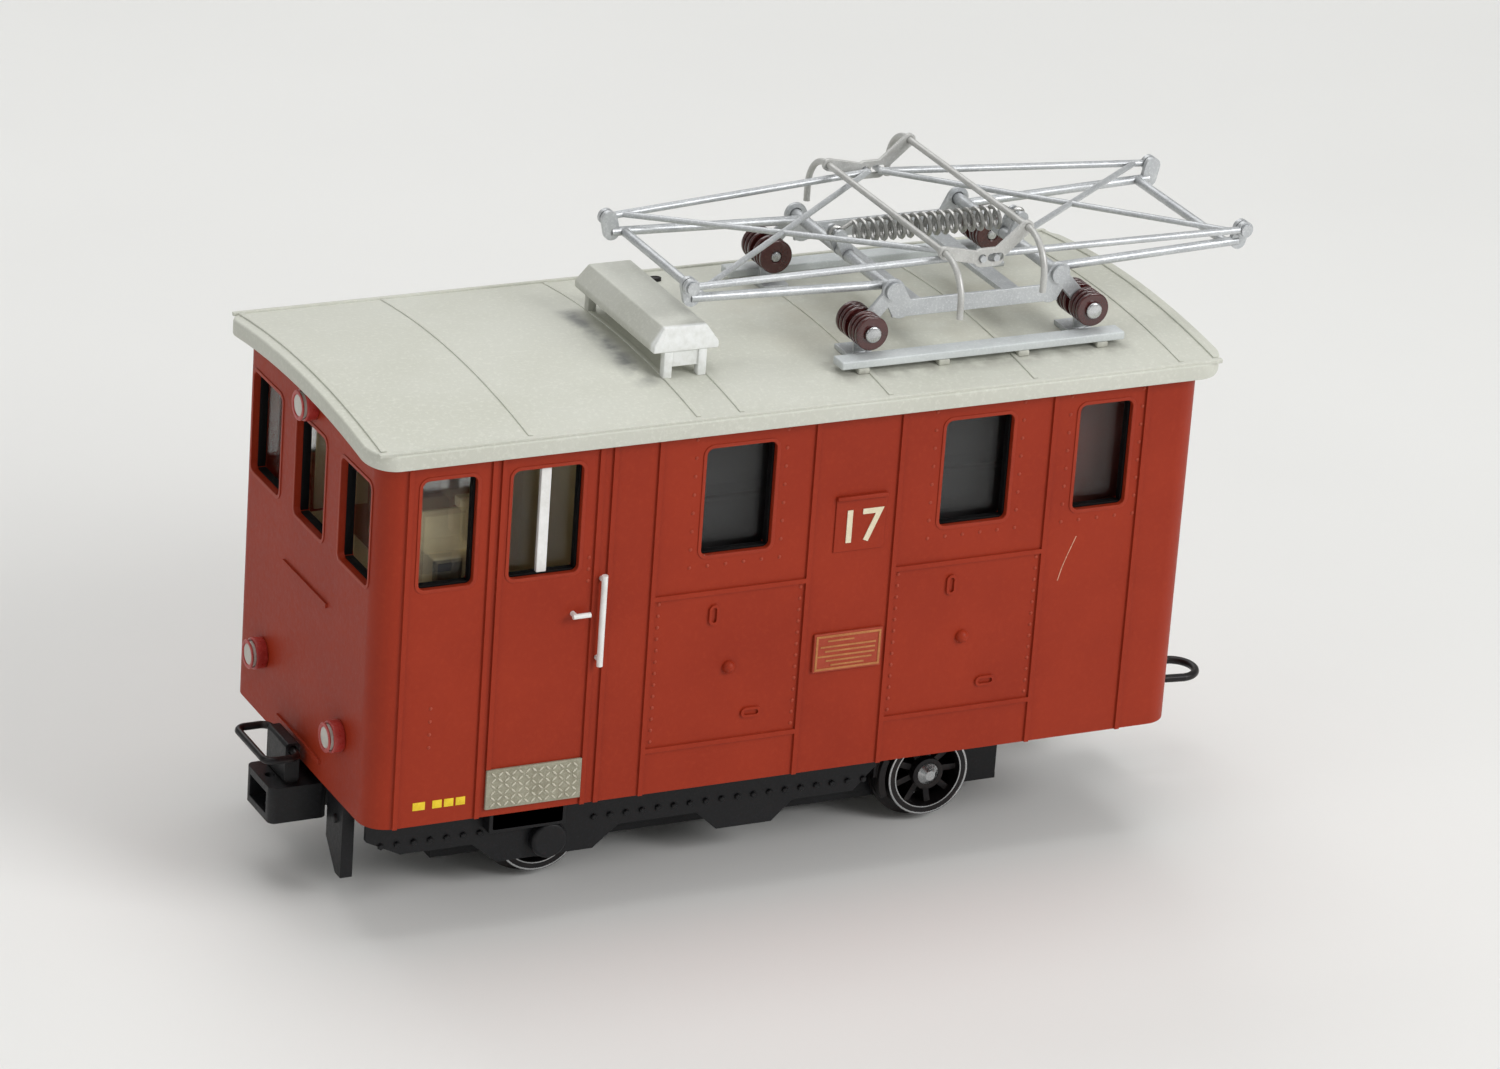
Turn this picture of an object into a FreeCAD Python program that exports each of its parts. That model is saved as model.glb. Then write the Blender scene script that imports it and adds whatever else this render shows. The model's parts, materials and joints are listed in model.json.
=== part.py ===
import FreeCAD, Part
import math
import os

# A small two-axle electric locomotive for a 9 mm gauge track, in millimetres. The origin is on the
# centreline midway between the axles, on the plane that the wheel flanges rest on. X runs along the
# locomotive, with the driving cab at -X and the current collector at +X, and Z is up.

V = FreeCAD.Vector

# fits
seat = 0.02
run_fit = 0.05

# how far a cutting shape runs past what it cuts
past = 1.0

# wheels and track
gauge = 9.0
flange_play = 0.8
flange_depth = 0.6
flange_thick = 0.5
tread_r = 2.95
tread_wide = 1.5
rim_thick = 0.6
hub_r = 1.1
spoke_count = 9
spoke_wide = 0.42
spoke_depth = 0.9
wheelbase = 28.4
axle_r = 0.75
axle_nose = 0.35
axle_nose_r = 0.34
bowl_web = 0.2

# body shell
body_long = 57.8
body_wide = 23.64
body_bottom = 8.2
wall = 1.0
corner_r = 1.8
rib_wide = 0.32
rib_proud = 0.15
door_left = -20.85
door_right = -14.2
side_ribs = [-27.1, -21.5, door_right, -13.25, -10.1, 0.85, 6.95, 17.9, 24.7]
panel_low = 11.3
panel_drop = 2.6
panels = [(-10.1, 0.85), (6.95, 17.9)]
end_rib_heights = [9.5, 20.4]
end_rib_half = 3.7

# windows
side_head_gap = 1.32
side_window_high = 7.35
side_windows = [(-24.45, 3.7), (-17.8, 4.8), (-4.46, 4.9), (12.48, 4.9), (21.7, 3.85)]
end_head_gap = 1.97
end_window_high = 6.9
end_window_wide = 4.9
end_window_pitch = 7.5
window_r = 0.45
frame_wide = 0.24
frame_proud = 0.06
glass_thick = 0.3
glass_lap = 0.5
door_bar_wide = 0.7
door_bar_thick = 0.35

# roof
roof_long = 60.2
roof_wide = 25.4
roof_crest = 35.1
roof_thick = 1.1
roof_curve = 85.0
roof_corner_r = 2.0

# side fittings
rail_x = -13.75
rail_r = 0.2
rail_low = 18.0
rail_high = 24.25
rail_stand = 0.55
rail_stand_r = 0.16
handle_x = -15.2
handle_z = 21.65
handle_long = 1.2
handle_r = 0.17
tread_plate_long = 6.6
tread_plate_low = 8.75
tread_plate_high = 2.75
plate_proud = 0.22
number_x = 4.3
number_up = 0.9
number_size = 3.6
number_proud = 0.1
number_ledge = 0.28
works_x = 4.05
works_z = 16.65
works_long = 4.9
works_high = 2.7
knob_r = 0.45
knob_z = 16.5
knobs = [-4.37, 12.42]
tall_caps = [-5.68, 11.32]
tall_cap_drop = 1.6
flat_caps = [-2.57, 14.4]
flat_cap_up = 1.8
cap_long = 1.4
cap_wide = 0.7
cap_rim = 0.18

# lamps
lamp_y = 6.7
lamp_z = 12.7
top_lamp_drop = 2.35
lamp_r = 1.05
lamp_long = 0.8
lens_r = 0.85
lens_proud = 0.25

# roof vent and walkway boards
vent_x = -6.5
vent_long = 4.55
vent_wide = 12.45
vent_y = -0.78
vent_lift = 1.5
vent_skirt = 0.45
vent_high = 1.6
vent_chamfer_x = 0.8
vent_chamfer_y = 0.3
vent_leg = 0.6
vent_leg_inset = 0.35
vent_leg_dx = 1.2
vent_web_gap = 0.7
vent_web_thick = 0.35
board_long = 20.5
board_wide = 1.4
board_thick = 0.55
board_y = 8.5
board_drop = 0.1
board_blocks = 4
block_long = 0.8

# current collector
pan_x = 13.8
ear_dx = 6.0
ear_lift = 2.25
ear_r = 0.8
side_plate_y = 7.125
side_plate_thick = 0.25
bar_lift = 0.4
bar_deep = 1.15
ear_brace_dx = 0.6
ear_brace_high = 0.7
foot_dx = 8.0
foot_lift = 2.0
foot_r = 0.5
insulator_r = 1.15
insulator_long = 1.3
insulator_groove = 0.18
pin_r = 0.36
pin_head_r = 0.55
pin_head = 0.25
post_wide = 0.9
post_foot = 1.9
post_foot_thick = 0.3
shaft_r = 0.4
shaft_head_r = 0.6
shaft_head = 0.2
cross_bar_dx = 3.6
cross_bar_wide = 1.3
cross_bar_thick = 0.35
knee_dx = 20.05
knee_lift = 1.4
knee_drop = 0.9
knee_y = 6.6
knee_pin_r = 0.25
knee_pin_head_r = 0.4
knee_pin_head = 0.15
knee_in = 0.2
eye_r = 0.55
eye_thick = 0.35
bracket_thick = 0.35
arm_rod_r = 0.3
arm_rod_y = 6.15
arm_tie_dx = 1.1
apex_dx = 0.48
apex_lift = 2.15
apex_y = 8.0
apex_pin_r = 0.22
apex_pin_proud = 0.1
upper_rod_r = 0.24
upper_brace_r = 0.2
upper_rod_in = 0.44
upper_brace_in = 1.1
apex_plate_y = 8.5
apex_plate_thick = 0.3
apex_plate_r = 0.62
slot_play = 0.3
bow_dx = 3.0
bow_rise = 1.25
bow_tilt = 12.0
bow_wire_r = 0.22
bow_clip_r = 0.42
bow_half = 8.75
horn_r = 2.5
horn_drop = 1.0
lever_long = 1.5
lever_lean = 25.0
lever_thick = 0.25
lever_gap = 0.5
lever_pin_r = 0.2
lever_eye_r = 0.42
spring_r = 0.85
spring_wire_r = 0.16
spring_hook = 0.75
spring_hook_r = 0.13

# underframe
floor_low = 8.3
floor_thick = 0.7
floor_gap = 0.4
inner_frame_y = 2.2
inner_frame_thick = 1.0
inner_frame_long = 41.4
inner_frame_low = 1.65
keeper_thick = 0.4
keeper_lap = 0.1
spacer_up = 1.0
stud_flange_thick = 0.4
idler_bearing_half = 1.25
idler_bearing_high = 0.95
outer_frame_y = 6.35
outer_frame_thick = 0.5
outer_frame_left = -26.8
outer_frame_right = 9.6
outer_frame_low = 3.7
horn_guide_low = 2.2
horn_guide_half = 3.4
horn_guide_slope = 1.8
frame_end_high = 1.2
frame_end_slope = 2.4
frame_drop_left = -3.4
frame_drop_right = 3.6
frame_drop_low = 2.3
frame_drop_slope = 1.5
frame_tail = 1.6
axle_box_r = 1.25
axle_box_proud = 0.75
step_box_long = 5.4
step_box_high = 1.6
step_box_proud = 1.0
step_box_x = -16.0
step_rim = 0.3
step_box_deep = 0.3
guard_x = 27.0
guard_thick = 0.85
guard_half = 5.3
guard_in = 2.65
guard_low = 1.8
guard_foot = 0.9
guard_rise = 1.9
guard_bolt_r = 0.3
guard_bolt = 0.2
guard_bolt_y = 4.2
guard_bolt_z = 5.6
brake_gap = 0.15
brake_thick = 0.5
brake_wide = 1.1
brake_half_angle = 24.0
brake_back_gap = 0.25
hanger_thick = 0.5
hanger_wide = 0.44
screw_x = 20.5
screw_y = 8.6
screw_head_r = 0.9
screw_head = 0.5
screw_r = 0.5
screw_slot = 0.24
screw_slot_deep = 0.2

# drive
gear_module = 0.25
pressure_angle = 20.0
backlash = 0.05
mesh_gap = 0.05
axle_teeth = 20
idler_small_teeth = 15
idler_large_teeth = 24
pinion_teeth = 12
gear_face = 1.2
gear_gap = 0.2
gear_y = -1.9
idler_arbor_r = 0.5
motor_r = 3.5
motor_long = 8.4
motor_y = 1.3
motor_cap = 0.4
motor_shaft_r = 0.4
flywheel_r = 3.2
flywheel_long = 1.9
shaft_end = 0.3
gear_well_gap = 0.5
cradle_high = 3.0
cradle_wall = 0.7
cradle_long = 4.5
cradle_shift = 0.4

# inside the body
cab_wall_x = -13.2
cab_wall_thick = 0.8
cab_floor_thick = 0.6
desk_deep = 3.2
desk_wide = 15.0
desk_drop = 2.6
desk_gap = 0.3
desk_round = 0.4
controller_x = -21.6
controller_y = -3.6
controller_r = 0.7
controller_up = 0.7
wheel_rim_r = 0.85
wheel_wire_r = 0.2
wheel_spoke_r = 0.15
wheel_stem = 2.4
ballast_left = -11.6
ballast_right = 8.4
ballast_wide = 19.0
ballast_high = 13.0
ballast_round = 1.0
board_pcb_thick = 0.8
board_inset = 1.0
chip_long = 2.4
chip_wide = 3.2
chip_high = 0.9
chip_pitch = 5.0
wiper_long = 7.5
wiper_thick = 0.15
wiper_high = 0.9
wiper_up = 1.6

# couplers
coupler_pivot_x = 26.0
coupler_pivot_r = 0.6
coupler_head_back = 27.6
coupler_head_front = 31.6
coupler_half = 2.15
coupler_low = 4.7
coupler_high = 7.2
coupler_round = 0.5
shank_half = 1.2
shank_low = 5.2
shank_high = 6.7
mouth_half = 1.4
mouth_high = 1.5
mouth_deep = 1.85
coupling_pin_x = 30.8
coupling_pin_r = 0.35
bail_x = 29.95
bail_z = 9.5
bail_reach = 32.2
bail_half = 2.7
bail_r = 0.25
bail_block_half = 1.6
bail_block_long = 1.0
bail_corner_r = 0.625
bail_end_gap = 0.8
link_pin_r = 0.3
link_pin_head_r = 0.54
link_pin_head = 0.4
link_tail_half = 0.77
link_reach = 37.3
link_half = 1.5
link_r = 0.28

# worked out from the sizes above
half_long = body_long / 2
half_wide = body_wide / 2
axle_x = wheelbase / 2
axle_z = flange_depth + tread_r
wheel_back = (gauge - 2 * flange_play) / 2
wheel_face = wheel_back + flange_thick + tread_wide
roof_centre = roof_crest - roof_curve
eaves_z = roof_centre + math.sqrt(roof_curve ** 2 - half_wide ** 2) - roof_thick
sill = eaves_z - side_head_gap - side_window_high
end_sill = eaves_z - end_head_gap - end_window_high
panel_high = sill - panel_drop
number_z = sill + number_up
desk_top = sill - desk_drop
controller_top = desk_top + controller_up
link_z = (coupler_low + coupler_high) / 2
top_lamp_z = roof_crest - top_lamp_drop
vent_low = roof_crest + vent_lift
board_low = roof_crest - board_drop
foot_z = roof_crest + foot_lift
bar_low = foot_z + bar_lift
bar_high = bar_low + bar_deep
ear_z = foot_z + ear_lift
knee_z = ear_z + knee_lift
apex_z = ear_z + apex_lift
floor_top = floor_low + floor_thick
idler_z = axle_z + gear_module * (axle_teeth + idler_small_teeth) / 2 + mesh_gap
motor_z = idler_z + gear_module * (idler_large_teeth + pinion_teeth) / 2 + mesh_gap
inner_wide = half_wide - wall
inner_long = half_long - wall
plate_in = side_plate_y - side_plate_thick
plate_out = side_plate_y + side_plate_thick
gear_well_half = gear_module * (idler_large_teeth + 2) / 2 + gear_well_gap


def box(x0, x1, y0, y1, z0, z1):
    x0, x1 = sorted((x0, x1))
    y0, y1 = sorted((y0, y1))
    z0, z1 = sorted((z0, z1))
    return Part.makeBox(x1 - x0, y1 - y0, z1 - z0, V(x0, y0, z0))


def rod(start, end, radius):
    run = end - start
    return Part.makeCylinder(radius, run.Length, start, run)


def across(x, z, radius, y0, y1):
    return rod(V(x, y0, z), V(x, y1, z), radius)


def upright(x, y, radius, z0, z1):
    return rod(V(x, y, z0), V(x, y, z1), radius)


def join(shapes):
    return shapes[0].multiFuse(shapes[1:]).removeSplitter() if len(shapes) > 1 else shapes[0]


def far(shape):
    return shape.mirror(V(0, 0, 0), V(0, 1, 0))


def other_end(shape):
    return shape.mirror(V(0, 0, 0), V(1, 0, 0))


def both_sides(shapes):
    return shapes + [far(s) for s in shapes]


def both_ends(shapes):
    return shapes + [other_end(s) for s in shapes]


def save(name, shapes):
    solids = [solid for shape in shapes for solid in shape.Solids]
    whole = solids[0] if len(solids) == 1 else Part.makeCompound(solids)
    if not whole.isValid():
        print("not valid:", name)
    whole.exportStep(os.path.join("parts", name + ".step"))
    print(f"{name}: {len(solids)} solid(s), {sum(s.Volume for s in solids):.2f} mm3")


def fillet_along(shape, direction, radius):
    edges = [e for e in shape.Edges if abs(abs(e.tangentAt(e.FirstParameter).dot(direction)) - 1) < 1e-6]
    return shape.makeFillet(radius, edges)


def rounded_box(x0, x1, y0, y1, z0, z1, direction, radius):
    return fillet_along(box(x0, x1, y0, y1, z0, z1), direction, radius)


def outline_xz(points, y0, y1):
    corners = [V(x, y0, z) for x, z in points]
    face = Part.Face(Part.makePolygon(corners + corners[:1]))
    return face.extrude(V(0, y1 - y0, 0))


def link_plate(x0, z0, x1, z1, radius, y0, y1):
    """Flat bar with round ends between two points, lying in the XZ plane."""
    span = math.hypot(x1 - x0, z1 - z0)
    nx, nz = -(z1 - z0) / span * radius, (x1 - x0) / span * radius
    middle = outline_xz([(x0 + nx, z0 + nz), (x0 - nx, z0 - nz), (x1 - nx, z1 - nz), (x1 + nx, z1 + nz)],
                        y0, y1)
    return join([middle, across(x0, z0, radius, y0, y1), across(x1, z1, radius, y0, y1)])


def swept_wire(edges, radius):
    path = Part.Wire(edges)
    start = path.Edges[0]
    here, heading = start.valueAt(start.FirstParameter), start.tangentAt(start.FirstParameter)
    ring = Part.Wire(Part.makeCircle(radius, here, heading))
    return path.makePipeShell([ring], True, False)


# roof surfaces

def roof_cylinder(radius):
    return Part.makeCylinder(radius, 2 * roof_long, V(-roof_long, 0, roof_centre), V(1, 0, 0))


def roof_top(y):
    return roof_centre + math.sqrt(roof_curve ** 2 - y ** 2)


def above_roof(shape):
    return shape.cut(roof_cylinder(roof_curve))


def make_roof():
    blank = rounded_box(-roof_long / 2, roof_long / 2, -roof_wide / 2, roof_wide / 2,
                        roof_crest - 3 * roof_thick, roof_crest + past, V(0, 0, 1), roof_corner_r)
    return [blank.common(roof_cylinder(roof_curve)).cut(roof_cylinder(roof_curve - roof_thick))]


# body shell

def side_window_hole(centre, wide):
    return rounded_box(centre - wide / 2, centre + wide / 2, -half_wide - past, -half_wide + wall + past,
                       sill, sill + side_window_high, V(0, 1, 0), window_r)


def end_window_hole(centre):
    half = end_window_wide / 2
    return rounded_box(-half_long - past, -half_long + wall + past, centre - half, centre + half,
                       end_sill, end_sill + end_window_high, V(1, 0, 0), window_r)


def end_window_centres():
    return [-end_window_pitch, 0, end_window_pitch]


def side_rib(x, low, high):
    return box(x - rib_wide / 2, x + rib_wide / 2, -half_wide - rib_proud, -half_wide + wall / 2, low, high)


def side_ribs_all():
    top = roof_top(half_wide) - roof_thick
    plate_top = tread_plate_low + tread_plate_high + seat
    ribs = [side_rib(x, body_bottom, top) for x in side_ribs]
    ribs.append(side_rib(door_left, plate_top, top))
    for left, right in panels:
        for height in (panel_low, panel_high):
            ribs.append(box(left, right, -half_wide - rib_proud, -half_wide + wall / 2,
                            height - rib_wide / 2, height + rib_wide / 2))
    return both_sides(ribs)


def end_ribs():
    ribs = [box(-half_long - rib_proud, -half_long + wall / 2, -end_rib_half, end_rib_half,
                z - rib_wide / 2, z + rib_wide / 2) for z in end_rib_heights]
    return both_ends(ribs)


def body_room():
    return rounded_box(-inner_long, inner_long, -inner_wide, inner_wide, body_bottom - past,
                       roof_crest + past,
                       V(0, 0, 1), corner_r - wall)


def make_body_shell():
    outer = rounded_box(-half_long, half_long, -half_wide, half_wide, body_bottom, roof_crest, V(0, 0, 1),
                        corner_r)
    walls = join([outer.cut(body_room())] + side_ribs_all() + end_ribs())
    holes = both_sides([side_window_hole(x, wide) for x, wide in side_windows])
    holes += both_ends([end_window_hole(y) for y in end_window_centres()])
    return [walls.cut(holes).common(roof_cylinder(roof_curve - roof_thick - seat))]


def make_window_frames():
    frames = []
    for x, wide in side_windows:
        half = wide / 2 + frame_wide
        ring = rounded_box(x - half, x + half, -half_wide - frame_proud, -half_wide, sill - frame_wide,
                           sill + side_window_high + frame_wide, V(0, 1, 0), window_r + frame_wide)
        frames.append(ring.cut(side_window_hole(x, wide)))
    ends = []
    for y in end_window_centres():
        half = end_window_wide / 2 + frame_wide
        ring = rounded_box(-half_long - frame_proud, -half_long, y - half, y + half, end_sill - frame_wide,
                           end_sill + end_window_high + frame_wide, V(1, 0, 0), window_r + frame_wide)
        ends.append(ring.cut(end_window_hole(y)))
    return both_sides(frames) + both_ends(ends)


def make_side_glazing():
    panes = [box(x - wide / 2 - glass_lap, x + wide / 2 + glass_lap, -inner_wide, -inner_wide + glass_thick,
                 sill - glass_lap, sill + side_window_high + glass_lap) for x, wide in side_windows]
    return both_sides(panes)


def make_end_glazing():
    half = end_window_wide / 2 + glass_lap
    room = body_room()
    panes = []
    for y in end_window_centres():
        pane = box(-inner_long, -inner_long + glass_thick, y - half, y + half, end_sill - glass_lap,
                   end_sill + end_window_high + glass_lap)
        panes.append(pane.common(room))
    return both_ends(panes)


# fittings on the sides

def make_door_window_bars():
    x, wide = side_windows[1]
    mid = -half_wide + wall / 2
    bar = box(x - door_bar_wide / 2, x + door_bar_wide / 2, mid - door_bar_thick / 2,
              mid + door_bar_thick / 2,
              sill, sill + side_window_high)
    return both_sides([bar])


def make_door_grab_rails():
    y = -half_wide - rail_stand
    bar = upright(rail_x, y, rail_r, rail_low, rail_high)
    stands = [rod(V(rail_x, y, z), V(rail_x, -half_wide, z), rail_stand_r)
              for z in (rail_low + 2 * rail_r, rail_high - 2 * rail_r)]
    return both_sides([join([bar] + stands)])


def make_door_handles():
    y = -half_wide - rail_stand
    bar = rod(V(handle_x - handle_long / 2, y, handle_z), V(handle_x + handle_long / 2, y, handle_z),
              handle_r)
    x = handle_x - handle_long / 3
    stand = rod(V(x, y, handle_z), V(x, -half_wide, handle_z), handle_r)
    return both_sides([join([bar, stand])])


def make_door_tread_plates():
    right = door_right - rib_wide / 2 - seat
    plate = box(right - tread_plate_long, right, -half_wide - plate_proud, -half_wide,
                tread_plate_low, tread_plate_low + tread_plate_high)
    return both_sides([plate])


def make_number_plates():
    half = number_size / 2
    plate = box(number_x - half, number_x + half, -half_wide - number_proud, -half_wide,
                number_z - half, number_z + half)
    ledge = box(number_x - half, number_x + half, -half_wide - number_ledge, -half_wide,
                number_z + half, number_z + half + number_ledge)
    return both_sides([join([plate, ledge])])


def make_works_plates():
    plate = box(works_x - works_long / 2, works_x + works_long / 2, -half_wide - plate_proud, -half_wide,
                works_z - works_high / 2, works_z + works_high / 2)
    return both_sides([plate])


def oval_ring(x, z, reach_x, reach_z):
    outer = link_plate(x - reach_x, z - reach_z, x + reach_x, z + reach_z, cap_wide / 2,
                       -half_wide - rib_proud, -half_wide)
    return outer.cut(link_plate(x - reach_x, z - reach_z, x + reach_x, z + reach_z, cap_wide / 2 - cap_rim,
                                -half_wide - rib_proud - past, -half_wide + past))


def make_side_fittings():
    face = -half_wide
    reach = (cap_long - cap_wide) / 2
    pieces = []
    for x in knobs:
        front = box(x - knob_r, x + knob_r, face - knob_r, face, knob_z - knob_r, knob_z + knob_r)
        pieces.append(Part.makeSphere(knob_r, V(x, face, knob_z)).common(front))
    pieces += [oval_ring(x, panel_high - tall_cap_drop, 0, reach) for x in tall_caps]
    pieces += [oval_ring(x, panel_low + flat_cap_up, reach, 0) for x in flat_caps]
    return both_sides(pieces)


def lamp_places():
    return [(-lamp_y, lamp_z), (lamp_y, lamp_z), (0, top_lamp_z)]


def make_headlamp_housings():
    out = -half_long - lamp_long
    shells = []
    for y, z in lamp_places():
        body = rod(V(-half_long, y, z), V(out, y, z), lamp_r)
        shells.append(body.cut(rod(V(out + lamp_long / 2, y, z), V(out - past, y, z), lens_r + seat)))
    return both_ends(shells)


def make_headlamp_lenses():
    out = -half_long - lamp_long
    lenses = []
    for y, z in lamp_places():
        glass = rod(V(out + lamp_long / 2, y, z), V(out - lens_proud, y, z), lens_r)
        edge = [e for e in glass.Edges if abs(e.CenterOfMass.x - (out - lens_proud)) < 1e-6 and e.isClosed()]
        lenses.append(glass.makeFillet(lens_proud * 0.8, edge))
    return both_ends(lenses)


# roof fittings

def rectangle(half_x, half_y, z):
    corners = [V(vent_x + sx * half_x, vent_y + sy * half_y, z) for sx, sy in ((-1, -1), (1, -1), (1, 1),
                                                                               (-1, 1))]
    return Part.makePolygon(corners + corners[:1])


def make_roof_vent():
    half_x, half_y = vent_long / 2, vent_wide / 2
    skirt = box(vent_x - half_x, vent_x + half_x, vent_y - half_y, vent_y + half_y, vent_low,
                vent_low + vent_skirt)
    crown = Part.makeLoft([rectangle(half_x, half_y, vent_low + vent_skirt),
                           rectangle(half_x - vent_chamfer_x, half_y - vent_chamfer_y, vent_low + vent_high)],
                          True, True)
    return [join([skirt, crown])]


def make_roof_vent_feet():
    feet = []
    for side in (-1, 1):
        y = vent_y + side * (vent_wide / 2 - vent_leg_inset)
        pieces = [box(vent_x - vent_leg_dx, vent_x + vent_leg_dx, y - vent_web_thick / 2,
                      y + vent_web_thick / 2,
                      roof_top(y) + vent_web_gap, vent_low)]
        for sx in (-1, 1):
            x = vent_x + sx * vent_leg_dx
            pieces.append(box(x - vent_leg / 2, x + vent_leg / 2, y - vent_leg / 2, y + vent_leg / 2,
                              roof_top(y) - past, vent_low))
        feet.append(above_roof(join(pieces)))
    return feet


def board_block_xs():
    step = (board_long - 4 * block_long) / (board_blocks - 1)
    return [pan_x - board_long / 2 + 2 * block_long + i * step for i in range(board_blocks)]


def make_roof_boards():
    board = box(pan_x - board_long / 2, pan_x + board_long / 2, -board_y - board_wide / 2,
                -board_y + board_wide / 2,
                board_low, board_low + board_thick)
    return both_sides([board])


def make_roof_board_blocks():
    blocks = []
    for x in board_block_xs():
        block = box(x - block_long / 2, x + block_long / 2, -board_y - board_wide / 2,
                    -board_y + board_wide / 2,
                    roof_top(board_y) - past, board_low)
        blocks.append(above_roof(block))
    return both_sides(blocks)


# current collector, built round its own centre line at x = pan_x

def left_and_right(shape):
    return [shape, shape.mirror(V(pan_x, 0, 0), V(1, 0, 0))]


def make_insulators():
    halves = []
    for y0, y1 in ((plate_out, plate_out + insulator_long), (plate_in - insulator_long, plate_in)):
        for side in (-1, 1):
            bobbin = across(pan_x - foot_dx, foot_z, insulator_r, side * y0, side * y1)
            for share in (1 / 3, 2 / 3):
                y = side * (y0 + (y1 - y0) * share)
                half = insulator_groove / 2
                groove = across(pan_x - foot_dx, foot_z, insulator_r + past, y - half, y + half)
                core = across(pan_x - foot_dx, foot_z, insulator_r - insulator_groove, y - half, y + half)
                groove = groove.cut(core)
                bobbin = bobbin.cut(groove)
            bobbin = bobbin.cut(across(pan_x - foot_dx, foot_z, pin_r + seat, side * (y0 - past),
                                       side * (y1 + past)))
            halves += left_and_right(bobbin)
    return halves


def make_insulator_pins():
    pins = []
    for side in (-1, 1):
        end = plate_out + insulator_long
        shank = across(pan_x - foot_dx, foot_z, pin_r, side * (plate_in - insulator_long), side * end)
        head = across(pan_x - foot_dx, foot_z, pin_head_r, side * end, side * (end + pin_head))
        pins += left_and_right(join([shank, head]))
    return pins


def make_pantograph_posts():
    posts = []
    for side in (-1, 1):
        x = pan_x - foot_dx
        y0, y1 = side * plate_in, side * (side_plate_y - seat)
        blade = box(x - post_wide / 2, x + post_wide / 2, y0, y1, roof_top(side_plate_y) - past, foot_z)
        eye = across(x, foot_z, foot_r, y0, y1)
        y = side * (plate_in - post_foot / 2 + side_plate_thick)
        foot = box(x - post_wide, x + post_wide, y - post_foot / 2, y + post_foot / 2,
                   roof_top(side_plate_y) - past, roof_top(plate_in - post_foot) + post_foot_thick)
        hole = across(x, foot_z, pin_r + seat, side * (plate_in - past), side * (plate_out + past))
        posts += left_and_right(above_roof(join([blade, eye, foot]).cut(hole)))
    return posts


def make_pantograph_frame():
    x_foot, x_ear = pan_x - foot_dx, pan_x - ear_dx
    plates = []
    for side in (-1, 1):
        y0, y1 = side * side_plate_y, side * plate_out
        bar = box(x_ear, 2 * pan_x - x_ear, y0, y1, bar_low, bar_high)
        pieces = [bar]
        for strap in (link_plate(x_foot, foot_z, x_ear, ear_z, foot_r, y0, y1),
                      link_plate(x_ear + ear_brace_dx, bar_low + ear_brace_high, x_ear, ear_z, ear_r, y0,
                                 y1)):
            pieces += left_and_right(strap)
        plate = join(pieces)
        for x in (x_foot, 2 * pan_x - x_foot):
            plate = plate.cut(across(x, foot_z, pin_r + seat, side * (side_plate_y - past),
                                     side * (plate_out + past)))
        for x in (x_ear, 2 * pan_x - x_ear):
            plate = plate.cut(across(x, ear_z, shaft_r + run_fit, side * (side_plate_y - past),
                                     side * (plate_out + past)))
        plates.append(plate)
    reach = side_plate_y + side_plate_thick / 2
    bars = left_and_right(box(pan_x - cross_bar_dx - cross_bar_wide / 2,
                              pan_x - cross_bar_dx + cross_bar_wide / 2,
                              -reach, reach, bar_low, bar_low + cross_bar_thick))
    return [join(plates + bars)]


def make_lower_arm():
    x_ear, x_knee = pan_x - ear_dx, pan_x - knee_dx
    shaft = across(x_ear, ear_z, shaft_r, -plate_out - run_fit - shaft_head, plate_out + run_fit + shaft_head)
    pieces = [shaft]
    for side in (-1, 1):
        out = plate_out + run_fit
        pieces.append(across(x_ear, ear_z, shaft_head_r, side * out, side * (out + shaft_head)))
        pieces.append(rod(V(x_ear, side * arm_rod_y, ear_z),
                          V(x_knee + knee_in, side * arm_rod_y, knee_z - knee_drop), arm_rod_r))
        y0, y1 = side * (arm_rod_y - bracket_thick / 2), side * (arm_rod_y + bracket_thick / 2)
        pieces.append(link_plate(x_knee + knee_in, knee_z - knee_drop, x_knee, knee_z, eye_r, y0, y1))
        pin_end = knee_y + eye_thick / 2 + run_fit
        pieces.append(across(x_knee, knee_z, knee_pin_r, y1, side * pin_end))
        pieces.append(across(x_knee, knee_z, knee_pin_head_r, side * pin_end,
                             side * (pin_end + knee_pin_head)))
    tie_z = knee_z - knee_drop + (ear_z - knee_z + knee_drop) * arm_tie_dx / (x_ear - x_knee)
    pieces.append(across(x_knee + arm_tie_dx, tie_z, arm_rod_r, -arm_rod_y, arm_rod_y))
    pieces += spring_lever(x_ear)
    return join(pieces)


def lever_tip():
    lean = math.radians(lever_lean)
    return pan_x - ear_dx - lever_long * math.sin(lean), ear_z + lever_long * math.cos(lean)


def spring_lever(x_ear):
    x, z = lever_tip()
    pieces = [across(x, z, lever_pin_r, -lever_gap - lever_thick, lever_gap + lever_thick)]
    for side in (-1, 1):
        pieces.append(link_plate(x_ear, ear_z, x, z, lever_eye_r, side * lever_gap,
                                 side * (lever_gap + lever_thick)))
    return pieces


def make_pantograph_spring():
    x, z = lever_tip()
    ring_r = lever_pin_r + run_fit
    left = x + ring_r + spring_hook
    right = 2 * pan_x - left
    coil = rod(V(left, 0, z), V(right, 0, z), spring_r)
    eye = across(x, z, ring_r + 2 * spring_wire_r, -spring_wire_r, spring_wire_r)
    eye = eye.cut(across(x, z, ring_r, -1, 1))
    hook = rod(V(x + ring_r + spring_wire_r, 0, z), V(left + spring_wire_r, 0, z), spring_hook_r)
    return [join([coil] + left_and_right(join([eye, hook])))]


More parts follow.
